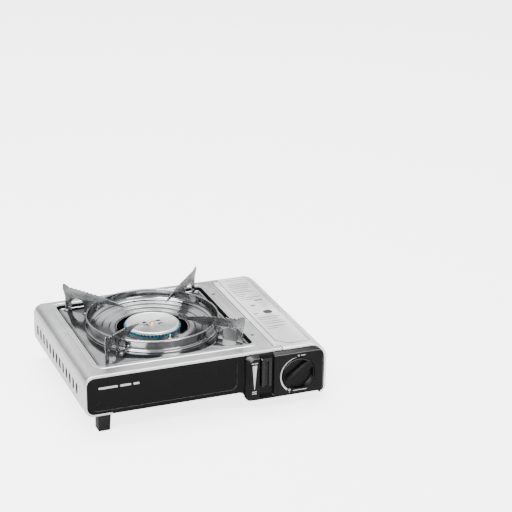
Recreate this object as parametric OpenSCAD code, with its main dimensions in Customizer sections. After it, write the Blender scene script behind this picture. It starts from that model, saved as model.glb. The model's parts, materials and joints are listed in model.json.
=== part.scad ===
// Portable single-burner gas stove with a lift-off pan support and a hinged cartridge cover.
// Millimetres. X runs along the front, Y from front to back, Z up. The ground is Z = 0.

/* [Overall] */
// Width over the shell and the lid
body_w = 342; // [330:1:420]
// Depth of the steel shell
body_d = 255; // [245:1:320]
// Height of the shell's top above the ground
top_z = 83; // [82:1:100]
// Underside of the burner side above the ground
under_z = 24.4; // [18:0.2:26]
// Thickness of the steel sheet
sheet_t = 0.8; // [0.6:0.1:1.2]

/* [Shell] */
// Outer radius of the shell's long edges
shell_r = 14; // [10:0.5:18]
// Width of the front and back hems
hem_w = 3.5; // [2.5:0.5:4]
// Width of the lip under the left edge
lip_w = 38; // [25:1:45]
// Seam between shell and lid, from the right side
seam_from_right = 75.9; // [74:0.1:80]
// Length of the end lugs that carry the hinge pins
lug_d = 9; // [8:0.5:12]
// How far the lugs reach past the seam
lug_out = 10; // [9:0.5:12]
// Number of cooling slots in the left side
slot_n = 13; // [5:1:13]
// Pitch of the cooling slots
slot_pitch = 16.4; // [14:0.1:17]
// Height of a cooling slot
slot_h = 15; // [10:0.5:18]
// Width of a cooling slot
slot_w = 5.5; // [3:0.5:8]

/* [Lid] */
// Outer radius of the lid's upper edge
lid_r = 25; // [18:0.5:28]
// Outer radius of the lid's lower curl
curl_r = 9; // [7:0.5:10]
// Lowest point of the lid
lid_low_z = 7.1; // [6.5:0.1:8]
// Height of the hinge axis below the top
hinge_drop = 4; // [3.8:0.1:5]
// Radius of the hinge pins
hinge_pin_r = 1.9; // [1.5:0.1:2.2]

/* [Burner] */
// Burner centre from the left side
burner_from_left = 137.7; // [130:0.1:150]
// Burner centre behind the shell's middle
burner_back = 8.1; // [0:0.1:12]
// Radius of the burner cap
cap_r = 36; // [30:0.5:40]
// Radius of the toothed port ring
port_r = 39.3; // [37:0.1:44]
// Number of flame ports
port_n = 48; // [24:4:60]
// Height of the cap's top
cap_z = 84.8; // [82:0.2:88]

/* [Pan support] */
// Width of the drip tray's recess
recess_w = 215.5; // [210:0.5:222]
// Depth of the drip tray's recess
recess_d = 209; // [205:0.5:215]
// Gap between tray and recess
tray_gap = 2; // [1:0.25:3]
// Depth of the tray's floor below the shell's top
tray_drop = 3; // [2:0.25:4]
// Outer radius of the wind ring's rolled rim
ring_r = 92; // [88:0.5:93]
// Height of the rim's top
ring_z = 97.3; // [92:0.1:104]
// Radius of the hole in the wind ring's floor
ring_hole_r = 49; // [45:0.5:52]
// Thickness of the support sheets
support_t = 1; // [0.8:0.1:2]
// Reach of the supports' outer edge from the burner's axis
support_reach = 137; // [134:0.5:140]
// Height of the supports' tips
support_z = 118.7; // [112:0.1:130]
// Number of teeth on a support
tooth_n = 4; // [2:1:5]

/* [Control block] */
// Width of the block's face
block_w = 107; // [100:0.5:110]
// How far the block stands out from the shell
block_out = 8; // [7:0.5:12]
// Left edge of the block's face from the right side
block_from_right = 115; // [112:0.5:118]
// Underside of the block's face
block_low_z = 14.4; // [13:0.2:16]
// Radius of the knob
knob_r = 22.9; // [18:0.1:23]
// Gap around the knob in its well
knob_gap = 1.1; // [0.5:0.1:1.5]
// How far the knob stands out of the block
knob_proud = 1; // [0.5:0.5:6]
// Knob and cartridge axis from the right side
axis_from_right = 44.6; // [43:0.1:46]
// Knob and cartridge axis above the ground
axis_z = 44.4; // [43:0.1:46]
// Width of the lever's channel
channel_w = 21.5; // [18:0.5:24]
// Width of the lock lever
lever_w = 14; // [12:0.5:16]
// Length of the lock lever
lever_h = 41; // [36:0.5:44]
// Travel of the lock lever
lever_travel = 14; // [10:0.5:14]

/* [Cartridge bay] */
// Largest cartridge radius
cartridge_r = 33.25; // [32:0.25:33.5]
// Bore of the regulator's port
port_bore_r = 2.2; // [2:0.1:3]
// Radius of the valve spindle
spindle_r = 4; // [3:0.1:5]
// Radius of the yoke's guide rods
rod_r = 2.5; // [2:0.1:3]

/* [Feet] */
// Width of the tall feet
tall_foot_w = 17; // [12:0.5:22]
// Depth of the tall feet
tall_foot_d = 16; // [12:0.5:22]
// Tall feet from the left side
tall_foot_in = 20; // [18:0.5:30]
// Setback of the tall feet from the shell's ends
tall_foot_back = 5; // [4:0.5:20]
// Radius of the short feet
short_foot_r = 8; // [6:0.5:10]
// Setback of the short feet from the shell's ends
short_foot_back = 34; // [25:1:60]

/* [Hidden] */
$fn = 96;

// Clearances: between moving bodies, between a shaft and its hole, and where pieces only touch
move_gap = 0.3;
run_gap = 0.05;
seat_gap = 0.05;
through = 60;

// Planes of the shell; the origin is under the middle of the whole stove
left_x = -body_w / 2;
right_x = body_w / 2;
mid_y = (block_out + knob_proud) / 2;
front_y = mid_y - body_d / 2;
rear_y = mid_y + body_d / 2;
inner_top = top_z - sheet_t;
inner_floor = under_z + sheet_t;
seam_x = right_x - seam_from_right;
lug_x = seam_x + lug_out;

// Front and back panels
panel_t = 1.5;
panel_y = front_y + sheet_t + move_gap;
panel_back_y = panel_y + panel_t;
back_y = rear_y - sheet_t - move_gap;
panel_in_y = back_y - panel_t;
s_r = 8;

// Rounded field of the front panel, and its distances from the shell and the block
field_in = 9;
field_low = 6.8;
field_right = 15;

// Middle of the cooling slots
slot_mid_y = mid_y + 6.6;
slot_mid_z = under_z + 28;

// Lid and hinge
hinge_x = seam_x + 4.9;
hinge_z = top_z - hinge_drop;
lid_x = seam_x + 1.2;
lid_notch_x = lug_x + 0.9;
lid_hem_x = lid_notch_x + 1;
curl_x = right_x - curl_r;
ear_t = 1.2;
ear_y = body_d / 2 - lug_d - move_gap - ear_t;

// Control block
face_y = front_y - block_out;
block_x = right_x - block_from_right;
block_x2 = block_x + block_w;
block_top = top_z - hem_w - 0.4;
base_low_z = block_low_z - 2.4;
axis_x = right_x - axis_from_right;
well_r = knob_r + knob_gap;
well_depth = 10;
cup_t = 1.6;
channel_x = block_x + 13.5;
channel_mid = channel_x + channel_w / 2;
channel_low = block_low_z + 3.2;
channel_depth = 6;
lever_low = channel_low + lever_travel + 1;
stem_t = 2;
stem_z = lever_low + 17.4;
stem_h = 12;

// Cartridge bay
wall_x = axis_x - cartridge_r - 1.85;
tray_x2 = axis_x + cartridge_r + 0.95;
tray_floor_z = axis_z - cartridge_r - 1.15;
bracket_y = front_y + 8;
bracket_t = 1.2;
body_y = bracket_y + bracket_t;
reg_r = 17;
reg_len = 15;
nose_r = 8;
nose_y = body_y + reg_len;
nose_len = 10;
neck_r = 9;
yoke_y = nose_y + nose_len + 2;
yoke_t = 2;
yoke_ratio = 0.5;
yoke_travel = lever_travel * yoke_ratio;
yoke_neck_r = 17.5;
rod_dx = 28.9;
rod_z = axis_z - 28.9;
pin_r = 2;
pin_slot_r = pin_r + 0.1;
pin_y = front_y + 20;
pin_z = stem_z + stem_h / 2;
arm_x = channel_mid + 2.4;
arm_t = 2;
arm_z = axis_z - 8.4;
arm_h = 26;
igniter_x = axis_x + 25.6;
igniter_z = axis_z + 8;
igniter_r = 6.5;

// Burner: its axis, the mixing tube's direction and the levels of its parts
burner_x = left_x + burner_from_left;
burner_y = mid_y + burner_back;
hub_z = 50;
mix_angle = -36;
mix_z = 60;
mix_r = 9;
mix_wall = 1.5;
stub_end = 50;
mix_end = 112;
nozzle_start = mix_end + 6;
nozzle_len = 18;
nozzle_r = 4;
body_rim_z = cap_z - 6.2;
port_h = 4.4;
seat_z = body_rim_z + port_h;
screw_r = 2.5;
screw_hole_r = screw_r / 2 + 0.1;
electrode_r = port_r + 5;
electrode_angle = -75;

// Drip tray and supports
recess_x = left_x + 28.5;
recess_y = mid_y - 99.9;
recess_r = 6;
ledge_w = 6;
ledge_z = top_z - 6;
tray_z = top_z - tray_drop;
tray_x = recess_x + tray_gap;
tray_y = recess_y + tray_gap;
tray_w = recess_w - 2 * tray_gap;
tray_d = recess_d - 2 * tray_gap;
collar_r = ring_r - 3.05;
leg_w = 10;
arch_w = 20;
leg_in = support_reach - 2 * leg_w - arch_w;
arch_mid = support_reach - leg_w - arch_w / 2;
support_angles = [-135, -45, 45, 135];
foot_flange_w = 8;
flange_mid = support_t / 2 + foot_flange_w / 2 - 0.01;
// Side of its sheet that each support's feet are bent to
flange_sides = [1, 1, -1, 1];
rivet_r = 1.5;

// Screws under the stove: each foot and bracket has its own places
tall_foot_x = left_x + tall_foot_in;
tall_foot_screw_x = tall_foot_x + tall_foot_w / 2;
short_foot_x = axis_x + 22;
burner_leg_dx = 32;
nozzle_foot = nozzle_start + 19;
deck_rivet_x = wall_x - 8.4;
deck_rivet_y = [mid_y - 75, mid_y + 77];

// ---- Helpers ----

// Extrudes a profile drawn in X and Z between two places on Y
module along_y(y0, y1) {
    translate([0, y1, 0]) rotate([90, 0, 0]) linear_extrude(height = y1 - y0) children();
}

// Corner of material outside an arc of radius r, in the quadrant towards +x, +y from the origin
module corner(r) {
    difference() {
        square(r);
        translate([r, r]) circle(r);
    }
}

// Rectangle with its own radius at each corner
module rounded(x0, z0, x1, z1, top_left, top_right, low_right, low_left) {
    difference() {
        translate([x0, z0]) square([x1 - x0, z1 - z0]);
        if (low_left > 0) translate([x0, z0]) corner(low_left);
        if (low_right > 0) translate([x1, z0]) mirror([1, 0]) corner(low_right);
        if (top_left > 0) translate([x0, z1]) mirror([0, 1]) corner(top_left);
        if (top_right > 0) translate([x1, z1]) rotate(180) corner(top_right);
    }
}

// Rod along Y between two places
module rod_y(x, z, r, y0, y1) {
    translate([x, y1, z]) rotate([90, 0, 0]) cylinder(r = r, h = y1 - y0);
}

// Rod along X between two places
module rod_x(y, z, r, x0, x1) {
    translate([x0, y, z]) rotate([0, 90, 0]) cylinder(r = r, h = x1 - x0);
}

// Pan-head screw pointing up, its head under z
module screw_up(x, y, z, r, len, head_r, head_h) {
    translate([x, y, z]) cylinder(r = r, h = len);
    translate([x, y, z - head_h]) cylinder(r = head_r, h = head_h);
}

// Places the burner's mixing tube axis along X, with the burner's axis at the origin
module on_mix_axis() {
    translate([burner_x, burner_y, mix_z]) rotate([0, 0, mix_angle]) children();
}

// Places children with the burner's axis at the origin of X and Y
module on_burner() {
    translate([burner_x, burner_y, 0]) children();
}

// ---- Case ----

module shell_outline(inset, r) {
    rounded(left_x + inset, under_z + inset, right_x + 20, top_z - inset, r, 0, 0, r);
}

module shell_section(inset, right) {
    difference() {
        shell_outline(0, shell_r);
        shell_outline(inset, shell_r - inset);
        translate([right, under_z - 1]) square([body_w, body_w]);
        translate([left_x + lip_w, under_z - 1]) square([body_w, top_z / 2]);
    }
}

module recess_rect(grow, r) {
    rounded(recess_x - grow, recess_y - grow, recess_x + recess_w + grow, recess_y + recess_d + grow,
        r, r, r, r);
}

module cooling_slot() {
    rod_x(0, -(slot_h - slot_w) / 2, slot_w / 2, -through, through);
    rod_x(0, (slot_h - slot_w) / 2, slot_w / 2, -through, through);
    cube([2 * through, slot_w, slot_h - slot_w], center = true);
}

module lug_ear(y0) {
    difference() {
        along_y(y0, y0 + ear_t) rounded(seam_x + 1.2, hinge_z - 4, lug_x - 1, inner_top, 0, 0, 3, 3);
        rod_y(hinge_x, hinge_z, hinge_pin_r + seat_gap, y0 - 1, y0 + ear_t + 1);
    }
}

module body_shell() {
    color("gainsboro") {
        difference() {
            union() {
                along_y(front_y + lug_d, rear_y - lug_d) shell_section(sheet_t, seam_x);
                along_y(front_y, front_y + lug_d) shell_section(sheet_t, lug_x);
                along_y(rear_y - lug_d, rear_y) shell_section(sheet_t, lug_x);
                along_y(front_y, front_y + sheet_t) shell_section(hem_w, lug_x);
                along_y(rear_y - sheet_t, rear_y) shell_section(hem_w, lug_x);
            }
            translate([0, 0, inner_top - 1]) linear_extrude(height = 5) recess_rect(0, recess_r);
            for (i = [0 : slot_n - 1])
                translate([left_x, slot_mid_y + (i - (slot_n - 1) / 2) * slot_pitch, slot_mid_z])
                    cooling_slot();
            tall_foot_screw_places() cylinder(r = screw_hole_r, h = 3 * through, center = true);
            for (y = deck_rivet_y) translate([deck_rivet_x, y, inner_top - 1]) cylinder(r = rivet_r, h = 5);
        }
        translate([0, 0, ledge_z - sheet_t]) linear_extrude(height = inner_top - ledge_z + sheet_t)
            difference() {
                recess_rect(sheet_t, recess_r + sheet_t);
                recess_rect(0, recess_r);
            }
        translate([0, 0, ledge_z - sheet_t]) linear_extrude(height = sheet_t) difference() {
            recess_rect(0.01, recess_r);
            recess_rect(-ledge_w, 2);
        }
        lug_ear(front_y + lug_d - ear_t);
        lug_ear(rear_y - lug_d);
    }
}

// Outline shared by the front and back panels: the burner side, then the deeper cartridge side
module panel_outline() {
    rounded(left_x + sheet_t, inner_floor, seam_x - 1, inner_top,
        shell_r - sheet_t, 0, 0, shell_r - sheet_t);
    rounded(block_x - 4, base_low_z, right_x - 2.5, inner_top - 0.4, 0, lid_r - 1.6, s_r, s_r);
    difference() {
        translate([block_x - 4 - s_r, inner_floor - s_r]) square(s_r + 0.01);
        translate([block_x - 4 - s_r, inner_floor - s_r]) circle(s_r);
    }
}

// Rounded field of the front panel
module panel_field() {
    rounded(left_x + field_in, under_z + field_low, block_x - field_right, top_z - 4,
        field_in, field_in, field_in, field_in);
}

module front_panel() {
    color("#1c1d1f") difference() {
        along_y(panel_y, panel_back_y) panel_outline();
        along_y(panel_y - 1, panel_y + 0.6) panel_field();
        rod_y(axis_x, axis_z, well_r + cup_t + 0.4, panel_y - 1, panel_back_y + 1);
        along_y(panel_y - 1, panel_back_y + 1)
            translate([channel_mid - 4, stem_z - lever_travel - 2]) square([8, stem_h + lever_travel + 4]);
        housing_screw_places() rod_y(0, 0, screw_r / 2 + 0.35, panel_y - 1, panel_back_y + 1);
    }
}

module back_panel() {
    color("#232426") difference() {
        along_y(panel_in_y, back_y) panel_outline();
        for (i = [0 : 8])
            translate([left_x + 60 + i * 17, back_y, under_z + 34])
                rotate([0, 0, 90]) cooling_slot();
    }
}

module bottom_plate() {
    plate_x = left_x + 18;
    color("#2a2b2d") difference() {
        translate([plate_x, panel_back_y, inner_floor])
            cube([wall_x - sheet_t - plate_x, panel_in_y - panel_back_y, sheet_t]);
        for (i = [0 : 7], s = [-1, 1])
            translate([burner_x + (i - 3.5) * 14, burner_y + s * 34, under_z])
                rotate([0, 0, 90]) rotate([0, 90, 0]) cooling_slot();
        chassis_screw_places() cylinder(r = screw_hole_r, h = 3 * through, center = true);
        tall_foot_screw_places() cylinder(r = screw_hole_r, h = 3 * through, center = true);
    }
}

// Heat shield between the burner and the cartridge
module partition_wall() {
    flange = 14;
    color("silver") difference() {
        union() {
            translate([wall_x - sheet_t, panel_back_y, inner_floor])
                cube([sheet_t, panel_in_y - panel_back_y, inner_top - inner_floor]);
            translate([wall_x - flange, panel_back_y, inner_top - sheet_t])
                cube([flange, panel_in_y - panel_back_y, sheet_t]);
        }
        translate([wall_x - 3, yoke_y - yoke_travel - 1, arm_z + 3])
            cube([6, yoke_travel + yoke_t + 2, arm_h - 4]);
        rod_x(outlet_y, axis_z, tube_r + 1, wall_x - 3, wall_x + 3);
        rod_x(outlet_y, lead_z, lead_r + 0.8, wall_x - 3, wall_x + 3);
        for (y = deck_rivet_y) translate([deck_rivet_x, y, inner_top - 2]) cylinder(r = rivet_r, h = 5);
    }
}

module cartridge_tray() {
    low = tray_floor_z;
    color("silver") difference() {
        along_y(panel_back_y, panel_in_y) difference() {
            rounded(wall_x, low, tray_x2 + sheet_t, axis_z - 4, 0, 0, 5, 5);
            rounded(wall_x + sheet_t, low + sheet_t, tray_x2, axis_z, 0, 0, 5 - sheet_t, 5 - sheet_t);
            translate([axis_x, low + 14]) square([through, through]);
        }
        translate([wall_x - 3, yoke_y - yoke_travel - 1, arm_z + 3])
            cube([6, yoke_travel + yoke_t + 2, arm_h - 4]);
        tray_screw_places() cylinder(r = screw_hole_r, h = 3 * through, center = true);
    }
}

// ---- Lid ----

module lid_outline(inset) {
    rounded(left_x + inset, lid_low_z + inset, right_x - inset, top_z - inset,
        0, lid_r - inset, curl_r - inset, 0);
}

module lid_section(inset, left) {
    difference() {
        lid_outline(0);
        lid_outline(inset);
        translate([left_x - 1, top_z / 2]) square([left - left_x + 1, top_z]);
        translate([left_x - 1, 0]) square([curl_x - left_x + 1, top_z * 0.75]);
    }
}

module lid_ear(y0) {
    difference() {
        along_y(y0, y0 + ear_t) rounded(lid_x, hinge_z - 3.6, hinge_x + 4, inner_top + 0.01, 0, 0, 3, 3);
        rod_y(hinge_x, hinge_z, hinge_pin_r + run_gap, y0 - 1, y0 + ear_t + 1);
    }
}

module lid() {
    lid_front = front_y - move_gap;
    color("whitesmoke") {
        along_y(front_y + lug_d + move_gap, rear_y - lug_d - move_gap) lid_section(sheet_t, lid_x);
        along_y(lid_front, front_y + lug_d + move_gap) lid_section(sheet_t, lid_notch_x);
        along_y(rear_y - lug_d - move_gap, rear_y) lid_section(sheet_t, lid_notch_x);
        along_y(lid_front, lid_front + sheet_t) lid_section(hem_w, lid_hem_x);
        along_y(rear_y - sheet_t, rear_y) lid_section(hem_w, lid_hem_x);
        lid_ear(mid_y - ear_y - ear_t);
        lid_ear(mid_y + ear_y);
    }
}

module hinge_pins() {
    color("silver") for (s = [-1, 1]) {
        y_in = mid_y + s * (ear_y - 1);
        y_out = mid_y + s * (body_d / 2 - lug_d + ear_t + 0.8);
        rod_y(hinge_x, hinge_z, hinge_pin_r, min(y_in, y_out), max(y_in, y_out));
        y_head = mid_y + s * (body_d / 2 - lug_d + ear_t);
        rod_y(hinge_x, hinge_z, hinge_pin_r + 1, min(y_head, y_out), max(y_head, y_out));
    }
}

// ---- Control block ----

module housing_screw_places() {
    for (x = [block_x + 5.5, block_x2 - 5], z = [block_low_z + 7, block_top - 8])
        translate([x, 0, z]) children();
}

module control_housing() {
    wall = 2.2;
    lid_side_r = lid_r - hem_w - 1.5;
    color("#232427") difference() {
        union() {
            difference() {
                hull() {
                    along_y(panel_y - 3, panel_y)
                        rounded(block_x - 4, base_low_z, block_x2 + 3, block_top,
                            s_r, lid_side_r, s_r, s_r, $fn = 32);
                    along_y(face_y, face_y + 1)
                        rounded(block_x, block_low_z, block_x2, block_top - 2.6,
                            s_r, s_r, s_r, s_r, $fn = 32);
                }
                translate([block_x + wall, face_y + wall, block_low_z + wall])
                    cube([block_w - 2 * wall, through, block_top - block_low_z - 3 - 2 * wall]);
            }
            rod_y(axis_x, axis_z, well_r + cup_t, face_y + 1, face_y + well_depth + cup_t);
            translate([channel_x - wall, face_y + 1, channel_low - 1.6])
                cube([channel_w + 2 * wall, panel_y - face_y - 1, block_top - channel_low - 1.4]);
            housing_screw_places() rod_y(0, 0, 3.2, face_y + 1, panel_y);
        }
        rod_y(axis_x, axis_z, well_r, face_y - 1, face_y + well_depth);
        rod_y(axis_x, axis_z, spindle_r + 1, face_y - 1, panel_back_y + through);
        translate([channel_x, face_y - 1, channel_low]) cube([channel_w, channel_depth + 1, top_z]);
        translate([channel_mid - stem_t / 2 - move_gap, face_y - 1, stem_z - lever_travel - 0.5])
            cube([stem_t + 2 * move_gap, through, stem_h + lever_travel + 1]);
        housing_screw_places() rod_y(0, 0, screw_r / 2 + seat_gap, face_y + 2.2, panel_y + 1);
    }
}

// Round knob with scooped flanks on each side of a grip ridge
module control_knob() {
    ridge_w = 8.5;
    scoop = 6.5;
    front = face_y - knob_proud;
    back = face_y + well_depth - 0.8;
    color("#17181a") difference() {
        rod_y(axis_x, axis_z, knob_r, front, back);
        translate([axis_x, front - 1, axis_z]) rotate([0, -36, 0]) for (s = [0, 180]) rotate([0, s, 0])
            intersection() {
                translate([-knob_r - 2, 0, ridge_w / 2]) cube([2 * knob_r + 4, scoop + 1, knob_r]);
                rod_y(0, 0, knob_r - 1.6, 0, scoop + 1);
            }
        rod_y(axis_x, axis_z, spindle_r + 0.02, back - 5, back + 1);
    }
}

module valve_spindle() {
    color("darkgray") rod_y(axis_x, axis_z, spindle_r, face_y + well_depth - 5.5, body_y + 8);
}

module lock_lever() {
    bar = 4;
    top = lever_low + lever_h;
    front = face_y + 0.5;
    back = face_y + channel_depth - 0.6;
    color("#2e2f32") {
        difference() {
            along_y(front, back) rounded(channel_mid - lever_w / 2, lever_low, channel_mid + lever_w / 2, top,
                2, 2, 1, 1);
            along_y(front - 1, back - 1.2)
                translate([channel_mid - lever_w / 2 + bar, lever_low - 1])
                    square([lever_w - 2 * bar, lever_h - 3.4]);
            for (i = [0 : 3]) translate([channel_mid - lever_w / 2 - 1, front - 0.5, top - 1.2 - i * 0.9])
                cube([lever_w + 2, 0.8, 0.4]);
        }
        translate([channel_mid - stem_t / 2, back - 0.5, stem_z])
            cube([stem_t, pin_y + 4 - back + 0.5, stem_h]);
        rod_x(pin_y, pin_z, pin_r, channel_mid, arm_x + arm_t + 0.4);
    }
}

// ---- Regulator, valve and cartridge lock ----

module valve_bracket() {
    foot = 12;
    color("silver") difference() {
        union() {
            along_y(bracket_y, body_y)
                rounded(wall_x + 3, tray_floor_z + sheet_t, tray_x2 - 1.2, axis_z + 16.5, 4, 4, 4, 4);
            translate([axis_x - 22, bracket_y, tray_floor_z + sheet_t]) cube([44, foot, bracket_t]);
        }
        rod_y(axis_x, axis_z, neck_r, bracket_y - 1, body_y + 1);
        for (s = [-1, 1]) rod_y(axis_x + s * rod_dx, rod_z, rod_r, bracket_y - 1, body_y + 1);
        tray_screw_places() cylinder(r = screw_r / 2, h = 3 * through, center = true);
    }
}

outlet_y = body_y + 8;
tube_r = 2;
lead_r = 1.3;
lead_z = top_z - 9.5;
diaphragm_z = axis_z + 22;
diaphragm_r = 11.5;
diaphragm_y = body_y + reg_len / 2;

module regulator_body() {
    color("#b9bcc0") difference() {
        union() {
            rod_y(axis_x, axis_z, neck_r, bracket_y - 3, body_y);
            rod_y(axis_x, axis_z, reg_r, body_y, nose_y);
            rod_y(axis_x, axis_z, nose_r, nose_y, nose_y + nose_len);
            translate([axis_x, diaphragm_y, axis_z]) cylinder(r = 7.4, h = diaphragm_z - axis_z - 4);
            translate([axis_x, diaphragm_y, diaphragm_z - 4]) cylinder(r = diaphragm_r, h = 4);
            rod_x(outlet_y, axis_z, 3.5, axis_x - reg_r - 4, axis_x);
        }
        rod_y(axis_x, axis_z, spindle_r + run_gap, bracket_y - 4, body_y + 8.5);
        rod_y(axis_x, axis_z, port_bore_r, nose_y + nose_len - 8, nose_y + nose_len + 1);
        rod_y(axis_x, axis_z, 5, nose_y + nose_len - 1.5, nose_y + nose_len + 1);
        rod_x(outlet_y, axis_z, tube_r, axis_x - reg_r - 5, axis_x - reg_r + 2);
    }
}

module diaphragm_cover() {
    color("#9fa3a8") translate([axis_x, diaphragm_y, diaphragm_z]) {
        cylinder(r = diaphragm_r + 0.5, h = 2);
        translate([0, 0, 2]) cylinder(r = 6, h = 1.5);
    }
}

module port_seal() {
    y1 = nose_y + nose_len;
    color("#202020") difference() {
        rod_y(axis_x, axis_z, 4.9, y1 - 1.5, y1 + 0.4);
        rod_y(axis_x, axis_z, port_bore_r + 0.4, y1 - 2, y1 + 1);
    }
}

// Fork that holds the cartridge's neck, with the cam arm that the lever's pin rides in
module cartridge_yoke() {
    color("#c9ccd0") difference() {
        union() {
            along_y(yoke_y, yoke_y + yoke_t) rounded(axis_x - cartridge_r + 1.4, tray_floor_z + sheet_t + 0.9,
                axis_x + cartridge_r - 1.4, arm_z + arm_h, 3, 3, 4, 4);
            translate([arm_x, yoke_y, arm_z + 4]) cube([axis_x - arm_x - yoke_neck_r, yoke_t, arm_h - 6]);
            translate([arm_x, pin_y - 6, arm_z]) cube([arm_t, yoke_y + yoke_t - pin_y + 6, arm_h]);
        }
        rod_y(axis_x, axis_z, yoke_neck_r, yoke_y - 1, yoke_y + yoke_t + 1);
        translate([axis_x - yoke_neck_r, yoke_y - 1, axis_z]) cube([2 * yoke_neck_r, yoke_t + 2, through]);
        for (s = [-1, 1])
            rod_y(axis_x + s * rod_dx, rod_z, rod_r + run_gap, yoke_y - 1, yoke_y + yoke_t + 1);
        cam_slot();
    }
}

// Slot at the slope that turns the lever's travel into the yoke's
module cam_slot() {
    run = sqrt(lever_travel * lever_travel + yoke_travel * yoke_travel);
    slope = atan2(lever_travel, yoke_travel);
    rod_x(pin_y, pin_z, pin_slot_r, arm_x - 1, arm_x + arm_t + 1);
    rod_x(pin_y + yoke_travel, pin_z - lever_travel, pin_slot_r, arm_x - 1, arm_x + arm_t + 1);
    translate([arm_x - 1, pin_y, pin_z]) rotate([-slope, 0, 0])
        translate([0, 0, -pin_slot_r]) cube([arm_t + 2, run, 2 * pin_slot_r]);
}

module guide_rods() {
    rod_end = yoke_y + yoke_t + 8;
    color("silver") for (s = [-1, 1]) {
        rod_y(axis_x + s * rod_dx, rod_z, rod_r, bracket_y, rod_end);
        rod_y(axis_x + s * rod_dx, rod_z, rod_r + 1.2, rod_end - 1.5, rod_end);
    }
}

// Tube in straight runs with round elbows
module elbowed(points, r) {
    $fn = 20;
    for (i = [0 : len(points) - 2]) {
        step = points[i + 1] - points[i];
        span = norm(step);
        translate(points[i]) rotate([0, acos(step[2] / span), atan2(step[1], step[0])])
            cylinder(r = r, h = span);
    }
    for (i = [1 : len(points) - 2]) translate(points[i]) sphere(r = r + 0.25);
}

function mix_point(d, z) = [burner_x + d * cos(mix_angle), burner_y + d * sin(mix_angle), z];

riser_x = wall_x - 3.7;
nozzle_tail = mix_point(nozzle_start + nozzle_len, mix_z);

module gas_tube() {
    over_z = arm_z + arm_h + 8;
    color("#b87333") elbowed([[axis_x - reg_r - 4 + 5, outlet_y, axis_z], [riser_x, outlet_y, axis_z],
        [riser_x, outlet_y, over_z], [nozzle_tail[0] + 8, nozzle_tail[1] - 6, over_z],
        mix_point(nozzle_start + nozzle_len + 7, mix_z), nozzle_tail], tube_r);
}

module jet_nozzle() {
    color("#c9a24a") on_mix_axis() difference() {
        union() {
            rotate([0, 90, 0]) translate([0, 0, nozzle_start]) cylinder(r = nozzle_r, h = nozzle_len);
            rotate([0, 90, 0]) translate([0, 0, nozzle_start + 12.5]) cylinder(r = 5.5, h = 4, $fn = 6);
            rotate([0, 90, 0]) translate([0, 0, nozzle_start - 4]) cylinder(r1 = 2, r2 = nozzle_r, h = 4);
        }
        rotate([0, 90, 0]) translate([0, 0, nozzle_start - 5]) cylinder(r = 0.6, h = nozzle_len);
    }
}

module nozzle_bracket() {
    d = nozzle_start + 8;
    z0 = inner_floor + sheet_t;
    color("silver") difference() {
        on_mix_axis() union() {
            translate([d, -10, z0 - mix_z]) cube([1.5, 20, mix_z - z0 + 8]);
            translate([d - 12, -10, z0 - mix_z]) cube([12, 20, 1.5]);
        }
        on_mix_axis() rotate([0, 90, 0]) cylinder(r = nozzle_r, h = 2 * mix_end);
        chassis_screw_places() cylinder(r = screw_r / 2, h = 3 * through, center = true);
    }
}

// ---- Burner ----

module mixing_tube() {
    color("#a9adb2") on_mix_axis() rotate([0, 90, 0]) difference() {
        union() {
            translate([0, 0, stub_end]) cylinder(r = mix_r, h = mix_end - stub_end);
            translate([0, 0, mix_end - 10]) cylinder(r1 = mix_r, r2 = mix_r + 4, h = 10);
        }
        translate([0, 0, stub_end - 1]) cylinder(r = mix_r - mix_wall, h = mix_end - stub_end + 2);
        translate([0, 0, mix_end - 10]) cylinder(r1 = mix_r - mix_wall, r2 = mix_r + 4 - mix_wall, h = 10.1);
    }
}

module burner_body() {
    rim = port_r - 0.8;
    color("#8f9398") difference() {
        union() {
            on_burner() rotate_extrude() polygon([[0, hub_z], [12, hub_z], [14, hub_z + 3],
                [rim - 3, hub_z + 13], [rim, hub_z + 17], [rim, body_rim_z], [0, body_rim_z]]);
            on_mix_axis() rotate([0, 90, 0]) cylinder(r = mix_r + 2, h = stub_end);
            on_burner() rotate([0, 0, electrode_angle]) translate([rim - 4, -3.5, body_rim_z - 14])
                cube([electrode_r + 8 - rim, 7, 3]);
        }
        on_burner() rotate_extrude() polygon([[8, hub_z + 5], [13, hub_z + 5], [rim - 4, hub_z + 15.4],
            [rim - 2.2, hub_z + 18], [rim - 2.2, body_rim_z + 1], [8, body_rim_z + 1]]);
        on_mix_axis() rotate([0, 90, 0]) translate([0, 0, 20]) cylinder(r = mix_r - mix_wall, h = stub_end);
        on_burner() translate([0, 0, body_rim_z - 12]) cylinder(r = screw_r, h = 20);
        on_burner() rotate([0, 0, electrode_angle]) translate([electrode_r, 0, body_rim_z - 20])
            cylinder(r = 2.2, h = 20);
        for (s = [-1, 1]) on_burner() translate([s * 8, 0, hub_z - 1]) cylinder(r = screw_r / 2, h = 5.5);
    }
}

module burner_port_ring() {
    port_w = 1.5;
    color("#0f6e78") difference() {
        on_burner() translate([0, 0, body_rim_z]) difference() {
            cylinder(r = port_r, h = port_h);
            translate([0, 0, -1]) cylinder(r = port_r - 3.2, h = port_h + 2);
        }
        for (i = [0 : port_n - 1]) on_burner() rotate([0, 0, i * 360 / port_n])
            translate([port_r - 5, -port_w / 2, body_rim_z + 2.6]) cube([8, port_w, port_h]);
    }
}

module burner_cap() {
    color("#d9dbdd") difference() {
        on_burner() rotate_extrude() polygon([[0, seat_z], [cap_r + 1, seat_z], [cap_r + 1, seat_z + 0.8],
            [cap_r - 0.6, cap_z], [cap_r - 3, cap_z], [cap_r - 4.5, cap_z - 0.8], [0, cap_z - 0.8]]);
        on_burner() translate([0, 0, seat_z - 1]) cylinder(r = screw_r, h = 10);
    }
}

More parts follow.
